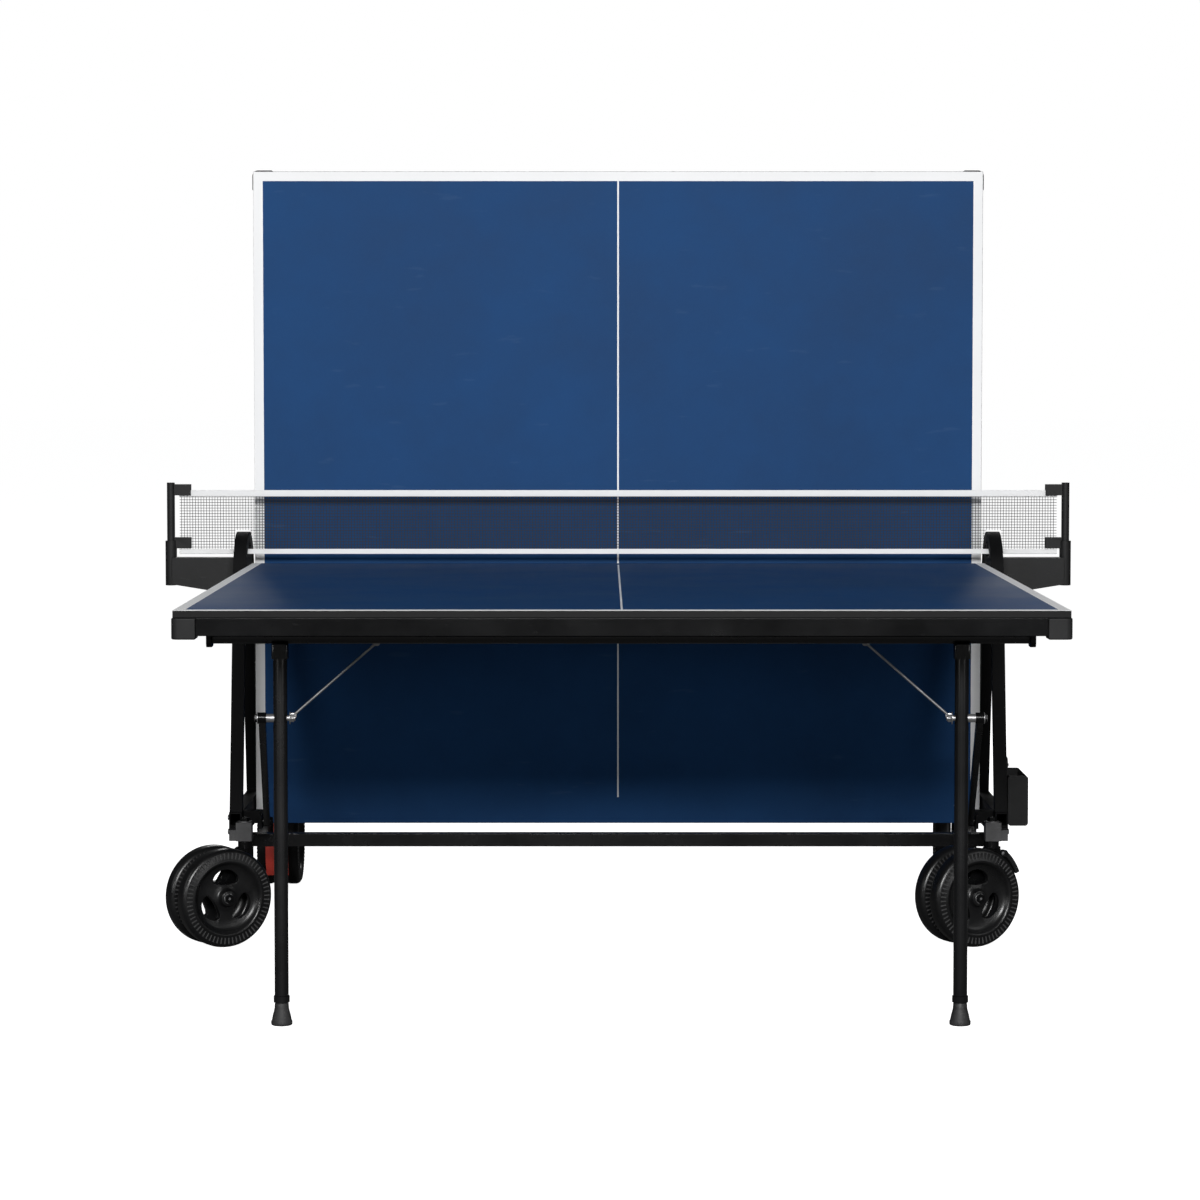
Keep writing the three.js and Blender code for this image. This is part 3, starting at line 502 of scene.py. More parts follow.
def add_lathe(mesh, profile, place, segments=48, closed=False):
    """Turns a profile of (radius, height) about Z; a point on the axis becomes one vertex."""
    rings = []
    for radius, height in profile:
        if radius < 1e-7:
            rings.append([mesh.verts.new(place @ Vector((0, 0, height)))])
            continue
        ring = []
        for index in range(segments):
            angle = 2 * math.pi * index / segments
            point = Vector((radius * math.cos(angle), radius * math.sin(angle), height))
            ring.append(mesh.verts.new(place @ point))
        rings.append(ring)
    pairs = list(zip(rings, rings[1:]))
    if closed:
        pairs.append((rings[-1], rings[0]))
    for first, second in pairs:
        if len(first) == len(second) == 1:
            continue
        for index in range(segments):
            following = (index + 1) % segments
            if len(first) == 1:
                corners = (first[0], second[following], second[index])
            elif len(second) == 1:
                corners = (first[index], first[following], second[0])
            else:
                corners = (first[index], first[following], second[following], second[index])
            mesh.faces.new(corners)


def add_rod(mesh, radius, start, end, place, segments=32):
    """Turns a plain rod between two places on Z."""
    add_lathe(mesh, [(0, start), (radius, start), (radius, end), (0, end)], place, segments)


def add_prism(mesh, outline, low, high, place, bevel=0.0, segments=2):
    """Straight prism over an outline in the XY plane, with rounded edges."""
    bottom = [mesh.verts.new(place @ Vector((x, y, low))) for x, y in outline]
    top = [mesh.verts.new(place @ Vector((x, y, high))) for x, y in outline]
    faces = [mesh.faces.new(list(reversed(bottom))), mesh.faces.new(top)]
    count = len(outline)
    for index in range(count):
        after = (index + 1) % count
        faces.append(mesh.faces.new((bottom[index], bottom[after], top[after], top[index])))
    if bevel:
        edges = list({edge for face in faces for edge in face.edges})
        bmesh.ops.bevel(
            mesh,
            geom=edges,
            offset=bevel,
            segments=segments,
            profile=0.5,
            affect="EDGES",
            clamp_overlap=True,
        )


def hexagon(across):
    radius = across / math.sqrt(3)
    return [
        (radius * math.cos(math.pi * index / 3), radius * math.sin(math.pi * index / 3))
        for index in range(6)
    ]


def rectangle(x0, x1, y0, y1):
    return [(x0, y0), (x1, y0), (x1, y1), (x0, y1)]


def rounded(x0, x1, y0, y1, radius, steps=6):
    points = []
    for cx, cy, start in (
        (x1 - radius, y1 - radius, 0),
        (x0 + radius, y1 - radius, 90),
        (x0 + radius, y0 + radius, 180),
        (x1 - radius, y0 + radius, 270),
    ):
        for step in range(steps + 1):
            angle = math.radians(start + 90 * step / steps)
            points.append((cx + radius * math.cos(angle), cy + radius * math.sin(angle)))
    return points


def add_bolt(mesh, position, axis, across=0.013, height=0.0055, washer=True):
    """Hexagon head on a washer, with a domed face."""
    place = facing(position, axis)
    base = 0.0
    if washer:
        rim = across * 0.82
        add_lathe(
            mesh,
            [(0, 0), (rim, 0), (rim, 0.001), (rim - 0.0004, 0.0014), (0, 0.0014)],
            place,
            32,
        )
        base = 0.0014
    add_prism(mesh, hexagon(across), base, base + height, place, 0.0006)
    dome = across * 0.4
    face = base + height
    root = face - 0.0002
    profile = [(0, root), (dome, root), (dome * 0.8, face + 0.0006), (0, face + 0.0009)]
    add_lathe(mesh, profile, place, 24)


def add_pan_screw(mesh, position, axis, radius=0.0045):
    """Pan head with a dished recess."""
    place = facing(position, axis)
    add_lathe(
        mesh,
        [
            (0, 0),
            (radius, 0),
            (radius, radius * 0.22),
            (radius * 0.86, radius * 0.5),
            (radius * 0.5, radius * 0.66),
            (radius * 0.46, radius * 0.4),
            (0, radius * 0.3),
        ],
        place,
        24,
    )


def smooth(mesh, angle=SMOOTH_BELOW):
    for polygon in mesh.polygons:
        polygon.use_smooth = True
    mesh.set_sharp_from_angle(angle=angle)


def place_piece(name, data, body, replaced=()):
    piece = bpy.data.objects.new(name, data)
    bpy.context.scene.collection.objects.link(piece)
    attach(piece, body)
    if replaced:
        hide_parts(*replaced)
    return piece


def finish_mesh(name, mesh, material, angle=SMOOTH_BELOW):
    bmesh.ops.recalc_face_normals(mesh, faces=mesh.faces)
    data = bpy.data.meshes.new(name)
    mesh.to_mesh(data)
    mesh.free()
    data.materials.append(material)
    smooth(data, angle)
    return data


def make_piece(name, mesh, material, body, replaced=(), angle=SMOOTH_BELOW):
    data = finish_mesh(name, mesh, material, angle)
    return place_piece(name, data, body, replaced)


def refined(node, material, bevel=0.0009, segments=3, angle=28.0):
    """A node's own shape with its flat faces cleaned and its edges rounded."""
    mesh = bmesh.new()
    mesh.from_mesh(frame["nodes"][node].data)
    bmesh.ops.remove_doubles(mesh, verts=mesh.verts, dist=0.00001)
    bmesh.ops.dissolve_limit(
        mesh,
        angle_limit=math.radians(0.4),
        use_dissolve_boundaries=False,
        verts=mesh.verts,
        edges=mesh.edges,
    )
    data = finish_mesh(f"{node}_body", mesh, material, math.radians(angle))
    piece = place_piece(f"{node}_body", data, BODY_OF[node], (node,))
    if bevel:
        rounding = piece.modifiers.new("rounded_edges", "BEVEL")
        rounding.width = bevel
        rounding.segments = segments
        rounding.limit_method = "ANGLE"
        rounding.angle_limit = math.radians(angle)
        rounding.use_clamp_overlap = True
        rounding.harden_normals = True
        rounding.miter_outer = "MITER_ARC"
    return piece


# ---- The pieces --------------------------------------------------------------------------


def build_boards(looks):
    for side in SIDES:
        piece = refined(f"{side}_top", finish("board_underside"), 0.0012, 3)
        piece.data.materials.append(board_paint(side, looks))
        play = Vector((0, 0, 1)) if side == "near" else Vector((0, -1, 0))
        for polygon in piece.data.polygons:
            if polygon.normal.dot(play) > 0.9:
                polygon.material_index = 1
        low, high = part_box(f"{side}_top")
        mesh = bmesh.new()
        for x in (-0.71, -0.36, 0.0, 0.36, 0.71):
            if side == "near":
                for y in (low[1] + 0.05, (low[1] + high[1]) / 2, high[1] - 0.05):
                    add_pan_screw(mesh, (x, y, low[2]), (0, 0, -1))
            else:
                for z in (low[2] + 0.05, (low[2] + high[2]) / 2, high[2] - 0.05):
                    add_pan_screw(mesh, (x, high[1], z), (0, 1, 0))
        make_piece(f"{side}_board_screws", mesh, finish("zinc_plate"), f"{side}_half")


def build_rails():
    for side in SIDES:
        for node in (f"{side}_end_rail", f"{side}_net_rail"):
            refined(node, finish("frame_powder_coat"), 0.0014)
        for hand, _ in HANDS:
            refined(f"{side}_side_rail_{hand}", finish("frame_powder_coat"), 0.0014)
            refined(f"{side}_corner_cap_{hand}", finish("moulded_plastic"), 0.0026, 4)


def build_carriage():
    for hand, sign in HANDS:
        refined(f"arch_{hand}", finish("arch_powder_coat"), 0.0022, 4, 40.0)
        low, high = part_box(f"arch_{hand}")
        face = high[0] if sign > 0 else low[0]
        mesh = bmesh.new()
        for offset in (-0.16, 0.16):
            for height in (0.2195, 0.2485):
                spot = (face - sign * 0.0004, NET_PLANE + offset, height)
                add_bolt(mesh, spot, (sign, 0, 0), 0.011, 0.0045)
        make_piece(f"arch_bolts_{hand}", mesh, finish("zinc_plate"), "carriage")
    refined("crossbeam", finish("leg_gloss_coat"), 0.002, 3)


def add_thread(mesh, start, end, width, across):
    """A flat ribbon between two points."""
    side = Vector(across) * (width / 2)
    first, last = Vector(start), Vector(end)
    corners = (first - side, first + side, last + side, last - side)
    mesh.faces.new([mesh.verts.new(point) for point in corners])


def build_net(looks):
    for hand, _ in HANDS:
        refined(f"net_arm_{hand}", finish("moulded_plastic"), 0.006, 5)
        refined(f"net_post_{hand}", finish("moulded_plastic"), 0.0012, 3)
    low, high = NET_LOW, NET_HIGH
    tape = looks.tape_height
    half = 0.0013
    cloth = bmesh.new()
    x = low[0] + 0.006
    arch_low, arch_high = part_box("arch_right")
    slit = (arch_low[0] + 0.066, arch_high[0] + 0.004)
    crown = arch_high[2] + 0.003
    sill = crown - 0.028
    pitch = looks.mesh_pitch
    while x < high[0] - 0.003:
        inside = slit[0] < abs(x) < slit[1]
        spans = [(low[2] + 0.002, high[2] - 0.002)]
        if inside:
            spans = [(low[2] + 0.002, sill), (crown, high[2] - 0.002)]
        for z0, z1 in spans:
            add_thread(cloth, (x, NET_PLANE, z0), (x, NET_PLANE, z1), looks.thread_width, (1, 0, 0))
        x += pitch
    z = low[2] + 0.003
    while z < high[2] - 0.001:
        inside = sill < z < crown
        spans = [(low[0] + 0.002, high[0] - 0.002)]
        if inside:
            spans = [
                (low[0] + 0.002, -slit[1]),
                (-slit[0], slit[0]),
                (slit[1], high[0] - 0.002),
            ]
        for x0, x1 in spans:
            start, end = (x0, NET_PLANE + 0.0003, z), (x1, NET_PLANE + 0.0003, z)
            add_thread(cloth, start, end, looks.thread_width, (0, 0, 1))
        z += pitch
    data = bpy.data.meshes.new("net_cloth")
    cloth.to_mesh(data)
    cloth.free()
    data.materials.append(woven("net_thread", (0.018, 0.019, 0.021), 0.0008, 0.7))
    net = place_piece("net_cloth", data, "carriage", ("net",))
    for label, bottom, top in (
        ("top", high[2] - tape, high[2] - 0.0002),
        ("bottom", low[2] + 0.0002, low[2] + tape * 0.8),
    ):
        mesh = bmesh.new()
        outline = rounded(-half, half, bottom, top, half * 0.9, 4)
        side_on = Matrix(((0, 0, 1, 0), (1, 0, 0, NET_PLANE), (0, 1, 0, 0), (0, 0, 0, 1)))
        add_prism(mesh, outline, low[0] + 0.001, high[0] - 0.001, side_on)
        for edge in (bottom + 0.0022, top - 0.0022):
            seam = rounded(half - 0.0002, half + 0.0001, edge - 0.0004, edge + 0.0004, 0.0001, 1)
            add_prism(mesh, seam, low[0] + 0.002, high[0] - 0.002, side_on)
            seam = [(-x, z) for x, z in seam]
            add_prism(mesh, seam, low[0] + 0.002, high[0] - 0.002, side_on)
        weave = woven("net_tape", (0.97, 0.975, 0.98), 0.0011, 0.75)
        make_piece(f"net_{label}_tape", mesh, weave, "carriage")


def build_holder():
    refined("ball_holder", finish("moulded_plastic"), 0.0011, 3)
    low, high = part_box("ball_holder")
    mesh = bmesh.new()
    middle = (low[1] + high[1]) / 2
    for offset in (-0.03, 0.03):
        add_pan_screw(mesh, (low[0] + 0.003, middle + offset, high[2] - 0.016), (1, 0, 0), 0.0045)
    make_piece("ball_holder_screws", mesh, finish("zinc_plate"), "carriage")


def build_leg_frames():
    radius = TUBE_RADIUS
    for side in SIDES:
        hinge = Vector(JOINTS[f"{side}_leg_fold"]["pos_m"])
        body = f"{side}_leg_frame"
        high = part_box(f"{side}_leg_crossbar")[1]
        reach = high[0] - 0.008
        along_x = facing((0, hinge.y, hinge.z), (1, 0, 0))
        mesh = bmesh.new()
        rounded_end = [(radius, reach - 0.001), (radius - 0.001, reach), (0, reach)]
        profile = [(r, -place) for r, place in reversed(rounded_end)] + rounded_end
        add_lathe(mesh, profile, along_x)
        for sign in (-1, 1):
            start, end = sign * reach, sign * high[0]
            add_rod(mesh, 0.006, start, end, along_x)
        crossbar = f"{side}_leg_crossbar"
        make_piece(f"{crossbar}_tube", mesh, finish("leg_gloss_coat"), body, (crossbar,))
        for hand, sign in HANDS:
            foot_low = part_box(f"{side}_foot_{hand}")[0]
            leg_low, leg_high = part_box(f"{side}_leg_{hand}")
            x = sign * LEG_X
            upright = Matrix.Translation((x, hinge.y, 0))
            top = leg_high[2]
            mesh = bmesh.new()
            tube = [
                (radius - 0.0022, leg_low[2]),
                (radius - 0.0006, leg_low[2]),
                (radius, leg_low[2] + 0.0006),
                (radius, top - 0.018),
                (0, top - 0.018),
                (0, leg_low[2] + 0.03),
                (radius - 0.0022, leg_low[2] + 0.03),
            ]
            add_lathe(mesh, tube, upright, closed=True)
            saddle = 0.0145
            add_prism(
                mesh,
                rounded(-saddle, saddle, -saddle, saddle, 0.004),
                top - 0.026,
                top - 0.0002,
                upright,
                0.0012,
            )
            collar = leg_low[2] + 0.012
            ring = [
                (radius, leg_low[2]),
                (radius + 0.0018, leg_low[2] + 0.001),
                (radius + 0.0018, collar),
                (radius, collar + 0.001),
            ]
            add_lathe(mesh, ring, upright, closed=True)
            leg = f"{side}_leg_{hand}"
            make_piece(f"{leg}_tube", mesh, finish("leg_gloss_coat"), body, (leg,))
            pin_height = hinge.z - PIN_DROP
            inner, outer = x - sign * 0.0265, x + sign * 0.0247
            mesh = bmesh.new()
            across = facing((0, hinge.y, pin_height), (1, 0, 0))
            ends = sorted((inner, outer))
            add_rod(mesh, 0.005, *ends, across)
            spacer = sorted((x + sign * 0.0105, outer))
            add_rod(mesh, 0.0075, *spacer, across)
            add_bolt(mesh, (x - sign * 0.0165, hinge.y, pin_height), (-sign, 0, 0), 0.0135, 0.0065)
            make_piece(f"{leg}_bolt", mesh, finish("zinc_plate"), body)
            mesh = bmesh.new()
            start = Vector((x - sign * 0.022, hinge.y, pin_height + 0.004))
            end = Vector((sign * BRACE_TOP_X, hinge.y, hinge.z - radius + 0.001))
            reachway = end - start
            add_rod(mesh, BRACE_RADIUS, 0, reachway.length, facing(start, reachway), 24)
            for point in (start, end):
                add_prism(
                    mesh,
                    rounded(-0.0065, 0.0065, -0.005, 0.005, 0.0045),
                    -0.0012,
                    0.0012,
                    Matrix.Translation(point) @ Matrix.Rotation(math.pi / 2, 4, "X"),
                    0.0004,
                )
            make_piece(f"{side}_brace_{hand}", mesh, finish("zinc_plate"), body)
            mesh = bmesh.new()
            base = foot_low[2]
            profile = [
                (0, base),
                (0.0165, base),
                (0.0183, base + 0.0008),
                (0.019, base + 0.0025),
                (0.0188, base + 0.007),
                (0.0175, base + 0.0095),
                (0.0172, base + 0.012),
                (0.0158, base + 0.0185),
                (0.0138, base + 0.026),
                (0.0128, base + 0.031),
                (0.0124, base + 0.0385),
                (0.0116, base + 0.0399),
                (0, base + 0.0399),
            ]
            add_lathe(mesh, profile, upright, 56)
            for index in range(20):
                angle = 2 * math.pi * index / 20
                outward = Vector((math.cos(angle), math.sin(angle), 0))
                point = Vector((x, hinge.y, base + 0.005)) + 0.0186 * outward
                add_prism(
                    mesh,
                    rectangle(-0.0011, 0.0011, -0.0026, 0.0026),
                    -0.0004,
                    0.0004,
                    facing(point, outward),
                    0.0002,
                    1,
                )
            foot = f"{side}_foot_{hand}"
            make_piece(f"{foot}_pad", mesh, finish("foot_rubber"), foot, (foot,))
            mesh = bmesh.new()
            stud = [(0, 0.0395), (0.005, 0.0395), (0.005, 0.064), (0.0042, 0.0655), (0, 0.0655)]
            add_lathe(mesh, [(r, base + height) for r, height in stud], upright, 24)
            make_piece(f"{foot}_stud", mesh, finish("zinc_plate"), foot)


def build_arms_and_links():
    for side in SIDES:
        foot = JOINTS[f"{side}_link_turn"]["pos_m"]
        leg_pin = Vector(JOINTS[f"{side}_leg_fold"]["pos_m"]) - Vector((0, 0, PIN_DROP))
        for hand, sign in HANDS:
            refined(f"{side}_swing_arm_{hand}", finish("leg_gloss_coat"), 0.0008, 3)
            refined(f"{side}_link_{hand}", finish("frame_powder_coat"), 0.0016, 3)
            mesh = bmesh.new()
            link_low, link_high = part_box(f"{side}_link_{hand}")
            outer = link_high[0] if sign > 0 else link_low[0]
            add_lathe(
                mesh,
                [(0, 0), (0.0085, 0), (0.0085, 0.0004), (0.006, 0.0005), (0, 0.0005)],
                facing((outer - sign * 0.0003, foot[1], foot[2]), (sign, 0, 0)),
                32,
            )
            pin_x = sign * LINK_BOLT_X
            spot = (pin_x - sign * 0.0064, leg_pin.y, leg_pin.z)
            add_bolt(mesh, spot, (sign, 0, 0), 0.0125, 0.0045)
            bolts = f"{side}_link_bolts_{hand}"
            make_piece(bolts, mesh, finish("zinc_plate"), f"{side}_links")


def wheel_shell():
    """One wheel about Z: a rounded rim, a dished web with three almond windows, and a hub."""
    half = [
        (0.0066, 0.0185),
        (0.0125, 0.0185),
        (0.0148, 0.0176),
        (0.0158, 0.0158),
        (0.0175, 0.0095),
        (0.0205, 0.0072),
        (0.03, 0.0064),
        (0.045, 0.0058),
        (0.06, 0.0066),
        (0.066, 0.0092),
        (0.0695, 0.0135),
        (0.0715, 0.0168),
        (0.0738, 0.0182),
        (0.0765, 0.0184),
        (0.0785, 0.0172),
        (0.0915, 0.0172),
        (0.0935, 0.0168),
        (0.0972, 0.0142),
        (0.0992, 0.0105),
        (0.1, 0.006),
    ]
    profile = half + [(radius, -height) for radius, height in reversed(half)]
    shell = bmesh.new()
    add_lathe(shell, profile, Matrix.Identity(4), 96, closed=True)
    bmesh.ops.recalc_face_normals(shell, faces=shell.faces)
    data = bpy.data.meshes.new("wheel_blank")
    shell.to_mesh(data)
    shell.free()
    blank = bpy.data.objects.new("wheel_blank", data)
    cutter_mesh = bmesh.new()
    for index in range(3):
        turn = Matrix.Rotation(math.radians(120 * index), 4, "Z")
        outline = []
        steps = 16
        middle, depth = 0.0415, 0.016
        span = math.radians(41)
        for bulge, order in ((depth, range(steps + 1)), (-depth, range(steps - 1, 0, -1))):
            for step in order:
                angle = -span + 2 * span * step / steps
                radius = middle + bulge * math.cos(angle / span * math.pi / 2) ** 0.55
                outline.append((radius * math.cos(angle), radius * math.sin(angle)))
        add_prism(cutter_mesh, outline, -0.03, 0.03, turn)
    bmesh.ops.recalc_face_normals(cutter_mesh, faces=cutter_mesh.faces)
    cutter_data = bpy.data.meshes.new("wheel_windows")
    cutter_mesh.to_mesh(cutter_data)
    cutter_mesh.free()
    cutter = bpy.data.objects.new("wheel_windows", cutter_data)
    for item in (blank, cutter):
        bpy.context.scene.collection.objects.link(item)
    cutting = blank.modifiers.new("windows", "BOOLEAN")
    cutting.operation = "DIFFERENCE"
    cutting.solver = "EXACT"
    cutting.object = cutter
    rounding = blank.modifiers.new("window_edges", "BEVEL")
    rounding.width = 0.0009
    rounding.segments = 2
    rounding.limit_method = "ANGLE"
    rounding.angle_limit = math.radians(50)
    depsgraph = bpy.context.evaluated_depsgraph_get()
    made = bpy.data.meshes.new_from_object(blank.evaluated_get(depsgraph))
    for item in (blank, cutter):
        bpy.data.objects.remove(item)
    return made


def build_casters(looks):
    shell = wheel_shell()
    for side in SIDES:
        for hand, _ in HANDS:
            name = f"{side}_caster_{hand}"
            refined(f"{side}_outrigger_{hand}", finish("dull_zinc"), 0.0016, 3)
            refined(f"{name}_fork", finish("frame_powder_coat"), 0.0011, 3)
            stem = Vector(JOINTS[f"{name}_swivel"]["pos_m"])
            fork_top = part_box(f"{name}_fork")[1][2]
            mesh = bmesh.new()
            add_bolt(mesh, (stem.x, stem.y, fork_top - 0.0065), (0, 0, 1), 0.0165, 0.0042, False)
            add_lathe(
                mesh,
                [(0, 0), (0.0142, 0), (0.0142, 0.0014), (0, 0.0014)],
                facing((stem.x, stem.y, fork_top - 0.0097), (0, 0, 1)),
            )
            for wheel in ("a", "b"):
                spin = JOINTS[f"{name}_wheel_{wheel}_spin"]
                body = f"{name}_wheel_{wheel}"
                outward = Vector(spin["axis"]) * (-1 if wheel == "a" else 1)
                add_bolt(
                    mesh,
                    Vector(spin["pos_m"]) + outward * WHEEL_FACE,
                    outward,
                    0.0125,
                    0.0026,
                )
                parts = bmesh.new()
                parts.from_mesh(shell)
                place = facing(spin["pos_m"], outward) @ Matrix.Rotation(
                    math.radians(looks.wheel_turn), 4, "Z"
                )
                parts.transform(place)
                bmesh.ops.recalc_face_normals(parts, faces=parts.faces)
                plastic = finish("wheel_plastic")
                sharp = math.radians(38)
                make_piece(body + "_shell", parts, plastic, body, (body,), sharp)
                ribs = bmesh.new()
                rib = [(0.0798, -0.0011), (0.0922, -0.0014), (0.0922, 0.0014), (0.0798, 0.0011)]
                for index in range(64):
                    turn = Matrix.Rotation(2 * math.pi * index / 64, 4, "Z")
                    for face in (-1, 1):
                        low, high = sorted((face * 0.0168, face * 0.0182))
                        add_prism(
                            ribs,
                            rib,
                            low,
                            high,
                            place @ turn,
                        )
                make_piece(body + "_ribs", ribs, finish("wheel_rubber"), body)
            make_piece(f"{name}_bolts", mesh, finish("zinc_plate"), name)
    refined("near_caster_right_brake_pedal", finish("moulded_plastic"), 0.0012, 3)
    refined("far_caster_left_brake_pedal", finish("pedal_plastic"), 0.0012, 3)
    for node in ("near_caster_right_brake_pedal", "far_caster_left_brake_pedal"):
        name = node.replace("_brake_pedal", "")
        press = JOINTS[f"{name}_brake_press"]
        axis = Vector(press["axis"])
        pivot = Vector(press["pos_m"])
        mesh = bmesh.new()
        for face in (-1, 1):
            add_pan_screw(mesh, pivot + axis * face * 0.0069, axis * face, 0.0042)
        make_piece(f"{node}_pin", mesh, finish("zinc_plate"), node)


# ---- The stage ---------------------------------------------------------------------------


def area_light(name, place, aim, width, height, power, tint=(1.0, 1.0, 1.0)):
    data = bpy.data.lights.new(name, "AREA")
    data.shape = "RECTANGLE"
    data.size, data.size_y = width, height
    data.energy = power
    data.color = tint
    light = bpy.data.objects.new(name, data)
    light.location = place
    light.rotation_euler = (Vector(aim) - Vector(place)).to_track_quat("-Z", "Y").to_euler()
    bpy.context.scene.collection.objects.link(light)
    return light


def build_stage(looks):
    scene = bpy.context.scene
    camera_data = bpy.data.cameras.new("camera")
    camera_data.sensor_width = 36.0
    camera_data.lens = looks.lens
    camera_data.clip_end = 120.0
    camera = bpy.data.objects.new("camera", camera_data)
    camera_data.shift_y = CAMERA_SHIFT
    camera.location = CAMERA_PLACE
    camera.rotation_euler = (math.radians(90 - looks.look_down), 0, CAMERA_YAW)
    scene.collection.objects.link(camera)
    scene.camera = camera

    floor = bmesh.new()
    outline = rectangle(-FLOOR_REACH, FLOOR_REACH, -FLOOR_REACH, FLOOR_REACH)
    floor.faces.new([floor.verts.new((x, y, 0)) for x, y in outline])
    data = bpy.data.meshes.new("floor")
    floor.to_mesh(data)
    floor.free()
    material, nodes, shader, place = blank_material("studio_floor")
    link = nodes.tree.links.new
    tone = nodes.add("ShaderNodeTexNoise", {"Vector": place, "Scale": 1.5}).outputs["Fac"]
    link(nodes.mix(tone, (0.86, 0.86, 0.86, 1), (0.9, 0.9, 0.9, 1)), shader.inputs["Base Color"])
    shader.inputs["Roughness"].default_value = 0.9
    shader.inputs["Emission Color"].default_value = (1, 1, 1, 1)
    shader.inputs["Emission Strength"].default_value = looks.floor_glow
    matt = nodes.add("ShaderNodeBsdfDiffuse", {"Color": (0.12, 0.12, 0.12, 1)})
    seen = nodes.add("ShaderNodeLightPath").outputs["Is Camera Ray"]
    choose = nodes.add("ShaderNodeMixShader", {0: seen, 1: matt.outputs[0], 2: shader.outputs[0]})
    output = next(node for node in nodes.tree.nodes if node.type == "OUTPUT_MATERIAL")
    link(choose.outputs[0], output.inputs["Surface"])
    data.materials.append(material)
    ground = bpy.data.objects.new("floor", data)
    scene.collection.objects.link(ground)

    world = bpy.data.worlds.new("studio")
    world.use_nodes = True
    tree = world.node_tree
    background = next(node for node in tree.nodes if node.type == "BACKGROUND")
    background.inputs["Color"].default_value = (1, 1, 1, 1)
    background.inputs["Strength"].default_value = 1.0
    dim = tree.nodes.new("ShaderNodeBackground")
    dim.inputs["Color"].default_value = (0.92, 0.96, 1.0, 1)
    dim.inputs["Strength"].default_value = looks.ambient
    path = tree.nodes.new("ShaderNodeLightPath")
    choose = tree.nodes.new("ShaderNodeMixShader")
    tree.links.new(path.outputs["Is Camera Ray"], choose.inputs[0])
    tree.links.new(dim.outputs[0], choose.inputs[1])
    tree.links.new(background.outputs[0], choose.inputs[2])
    output = next(node for node in tree.nodes if node.type == "OUTPUT_WORLD")
    tree.links.new(choose.outputs[0], output.inputs["Surface"])
    scene.world = world
    scene.view_settings.view_transform = "Standard"

    area_light("front_light", (0.0, -7.2, 3.1), (0, 0.3, 0.8), 3.4, 1.2, looks.front_power)
    for name, x in (("low_left_light", -4.4), ("low_right_light", 4.4)):
        area_light(name, (x, -5.4, 1.3), (0, 0.3, 0.45), 1.3, 0.35, looks.low_power)
    area_light("left_light", (-4.2, -1.6, 2.2), (0, 0, 0.6), 1.4, 2.4, looks.side_power)
    area_light("right_light", (4.2, -1.6, 2.2), (0, 0, 0.6), 1.4, 2.4, looks.side_power)
    area_light("back_light", (0.0, 5.0, 3.2), (0, 0, 0.8), 3.0, 1.6, looks.back_power)


# ---- Add-on ------------------------------------------------------------------------------


class TableLooks(bpy.types.PropertyGroup):
    """Sizes and colours of the board, the net and the studio."""

    board_blue: bpy.props.FloatVectorProperty(
        name="Board blue",
        description="Colour of the painted board",
        default=(0.0115, 0.055, 0.165),
        size=3,
        subtype="COLOR",
        min=0.0,
        max=1.0,
    )
    line_width: bpy.props.FloatProperty(
        name="Edge line width",
        description="Width of the side and end lines",
        default=0.02,
        unit="LENGTH",
    )
    centre_width: bpy.props.FloatProperty(
        name="Centre line width",
        description="Width of the centre line",
        default=0.0034,
        unit="LENGTH",
    )
    centre_start: bpy.props.FloatProperty(
        name="Centre line start",
        description="Distance from the net to the centre line",
        default=0.055,
        unit="LENGTH",
    )
    tape_height: bpy.props.FloatProperty(
        name="Tape height",
        description="Height of the tape along the top of the net",
        default=0.0135,
        unit="LENGTH",
    )
    mesh_pitch: bpy.props.FloatProperty(
        name="Mesh pitch",
        description="Distance between the net's threads",
        default=0.0058,
        unit="LENGTH",
    )
    thread_width: bpy.props.FloatProperty(
        name="Thread width", description="Width of one thread", default=0.0011, unit="LENGTH"
    )
    wheel_turn: bpy.props.FloatProperty(
        name="Wheel turn", description="How far the wheels have rolled, in degrees", default=90.0
    )
    lens: bpy.props.FloatProperty(
        name="Lens", description="Focal length in millimetres", default=105.77
    )
    look_down: bpy.props.FloatProperty(
        name="Look down", description="Tilt of the camera below level, in degrees", default=2.974
    )
    floor_glow: bpy.props.FloatProperty(
        name="Floor glow", description="Light that the floor gives off", default=0.97
    )
    ambient: bpy.props.FloatProperty(
        name="Ambient", description="Strength of the light from all round", default=0.03
    )
    front_power: bpy.props.FloatProperty(
        name="Front light", description="Power of the front light in watts", default=500.0
    )
    low_power: bpy.props.FloatProperty(
        name="Low lights",
        description="Power of each light that reaches under the board",
        default=30.0,
    )
    side_power: bpy.props.FloatProperty(
        name="Side lights", description="Power of each side light in watts", default=14.0
    )
    back_power: bpy.props.FloatProperty(
        name="Back light", description="Power of the light behind in watts", default=90.0
    )


class TABLE_OT_boards(bpy.types.Operator):
    """Build the two painted boards and their screws"""

    bl_idname = "table.boards"
    bl_label = "Boards"

    def execute(self, context):
        build_boards(context.scene.table_looks)
        return {"FINISHED"}


class TABLE_OT_rails(bpy.types.Operator):
    """Build the steel rails and corner caps under each board"""

    bl_idname = "table.rails"
    bl_label = "Rails and caps"

    def execute(self, context):
        build_rails()
        return {"FINISHED"}


class TABLE_OT_carriage(bpy.types.Operator):
    """Build the arches and the crossbeam"""

    bl_idname = "table.carriage"
    bl_label = "Carriage"

    def execute(self, context):
        build_carriage()
        return {"FINISHED"}


class TABLE_OT_net(bpy.types.Operator):
    """Build the net, its tapes, its posts and the arms that hold them"""

    bl_idname = "table.net"
    bl_label = "Net"

    def execute(self, context):
        build_net(context.scene.table_looks)
        return {"FINISHED"}


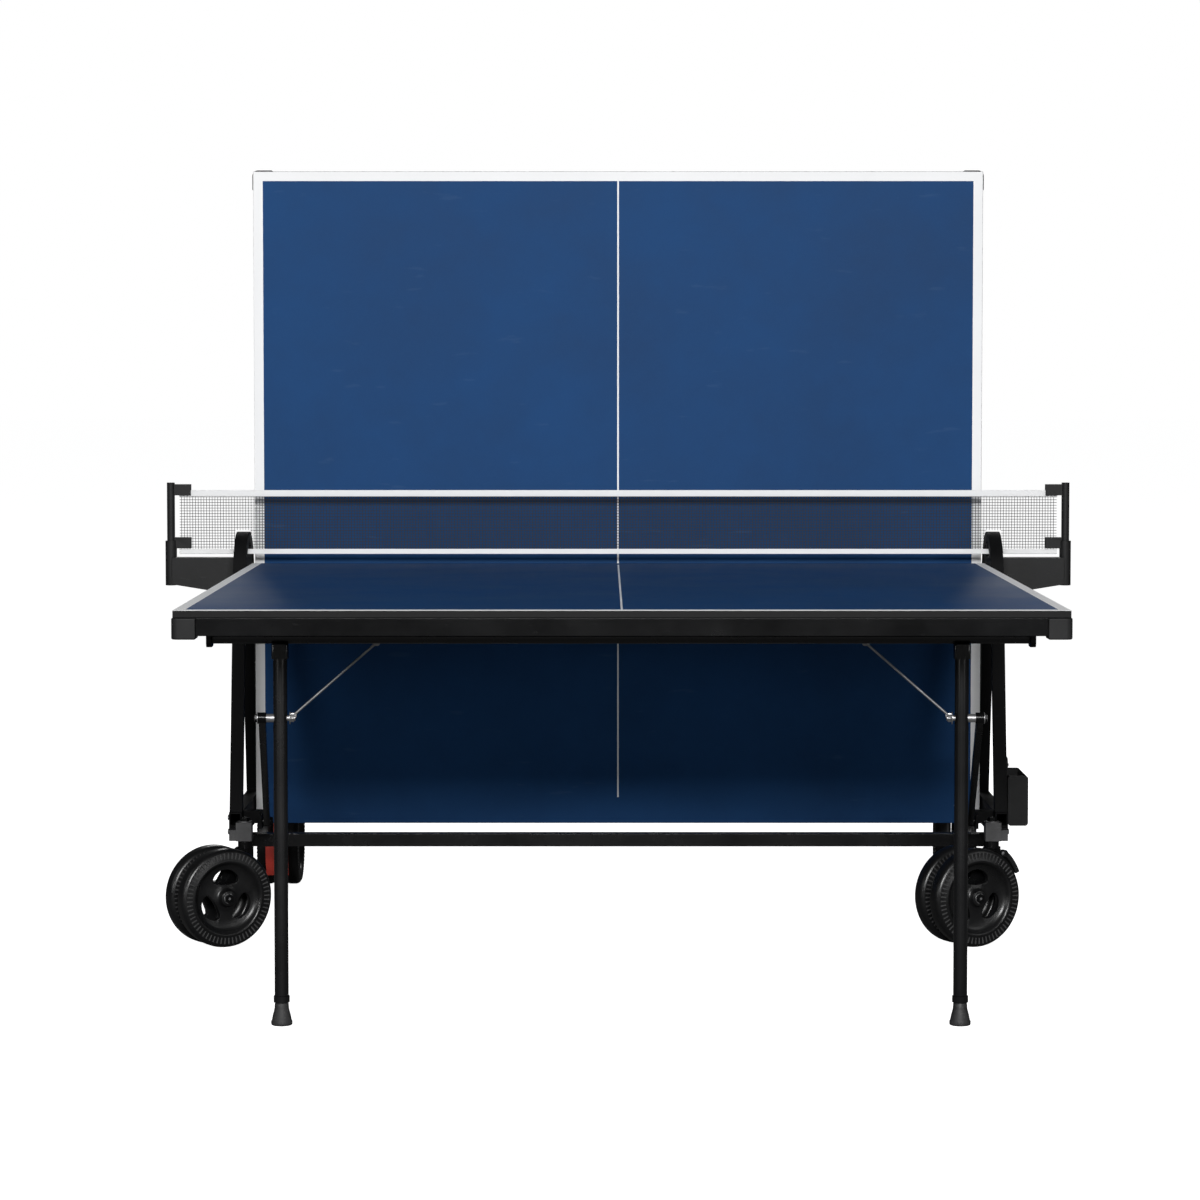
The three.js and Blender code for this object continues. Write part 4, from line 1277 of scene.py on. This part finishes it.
class TABLE_OT_holder(bpy.types.Operator):
    """Build the ball holder"""

    bl_idname = "table.holder"
    bl_label = "Ball holder"

    def execute(self, context):
        build_holder()
        return {"FINISHED"}


class TABLE_OT_leg_frames(bpy.types.Operator):
    """Build the leg frames, braces and levelling feet"""

    bl_idname = "table.leg_frames"
    bl_label = "Leg frames"

    def execute(self, context):
        build_leg_frames()
        return {"FINISHED"}


class TABLE_OT_arms_and_links(bpy.types.Operator):
    """Build the swing arms and the links"""

    bl_idname = "table.arms_and_links"
    bl_label = "Arms and links"

    def execute(self, context):
        build_arms_and_links()
        return {"FINISHED"}


class TABLE_OT_casters(bpy.types.Operator):
    """Build the outriggers, forks, wheels and brake pedals"""

    bl_idname = "table.casters"
    bl_label = "Casters"

    def execute(self, context):
        build_casters(context.scene.table_looks)
        return {"FINISHED"}


class TABLE_OT_stage(bpy.types.Operator):
    """Set up the camera, the floor and the lights"""

    bl_idname = "table.stage"
    bl_label = "Stage"

    def execute(self, context):
        build_stage(context.scene.table_looks)
        return {"FINISHED"}


OPERATORS = (
    TABLE_OT_stage,
    TABLE_OT_boards,
    TABLE_OT_rails,
    TABLE_OT_carriage,
    TABLE_OT_net,
    TABLE_OT_holder,
    TABLE_OT_leg_frames,
    TABLE_OT_arms_and_links,
    TABLE_OT_casters,
)


class TABLE_PT_panel(bpy.types.Panel):
    """Lists the table's operators"""

    bl_idname = "TABLE_PT_panel"
    bl_label = "Ping pong table"
    bl_space_type = "VIEW_3D"
    bl_region_type = "UI"
    bl_category = "Table"

    def draw(self, context):
        for operator in OPERATORS:
            self.layout.operator(operator.bl_idname)


CLASSES = (TableLooks, *OPERATORS, TABLE_PT_panel)


def register():
    for item in CLASSES:
        bpy.utils.register_class(item)
    bpy.types.Scene.table_looks = bpy.props.PointerProperty(type=TableLooks)


def unregister():
    del bpy.types.Scene.table_looks
    for item in reversed(CLASSES):
        bpy.utils.unregister_class(item)


def main():
    register()
    bpy.ops.table.stage()
    bpy.ops.table.boards()
    bpy.ops.table.rails()
    bpy.ops.table.carriage()
    bpy.ops.table.net()
    bpy.ops.table.holder()
    bpy.ops.table.leg_frames()
    bpy.ops.table.arms_and_links()
    bpy.ops.table.casters()


if __name__ == "__main__":
    main()
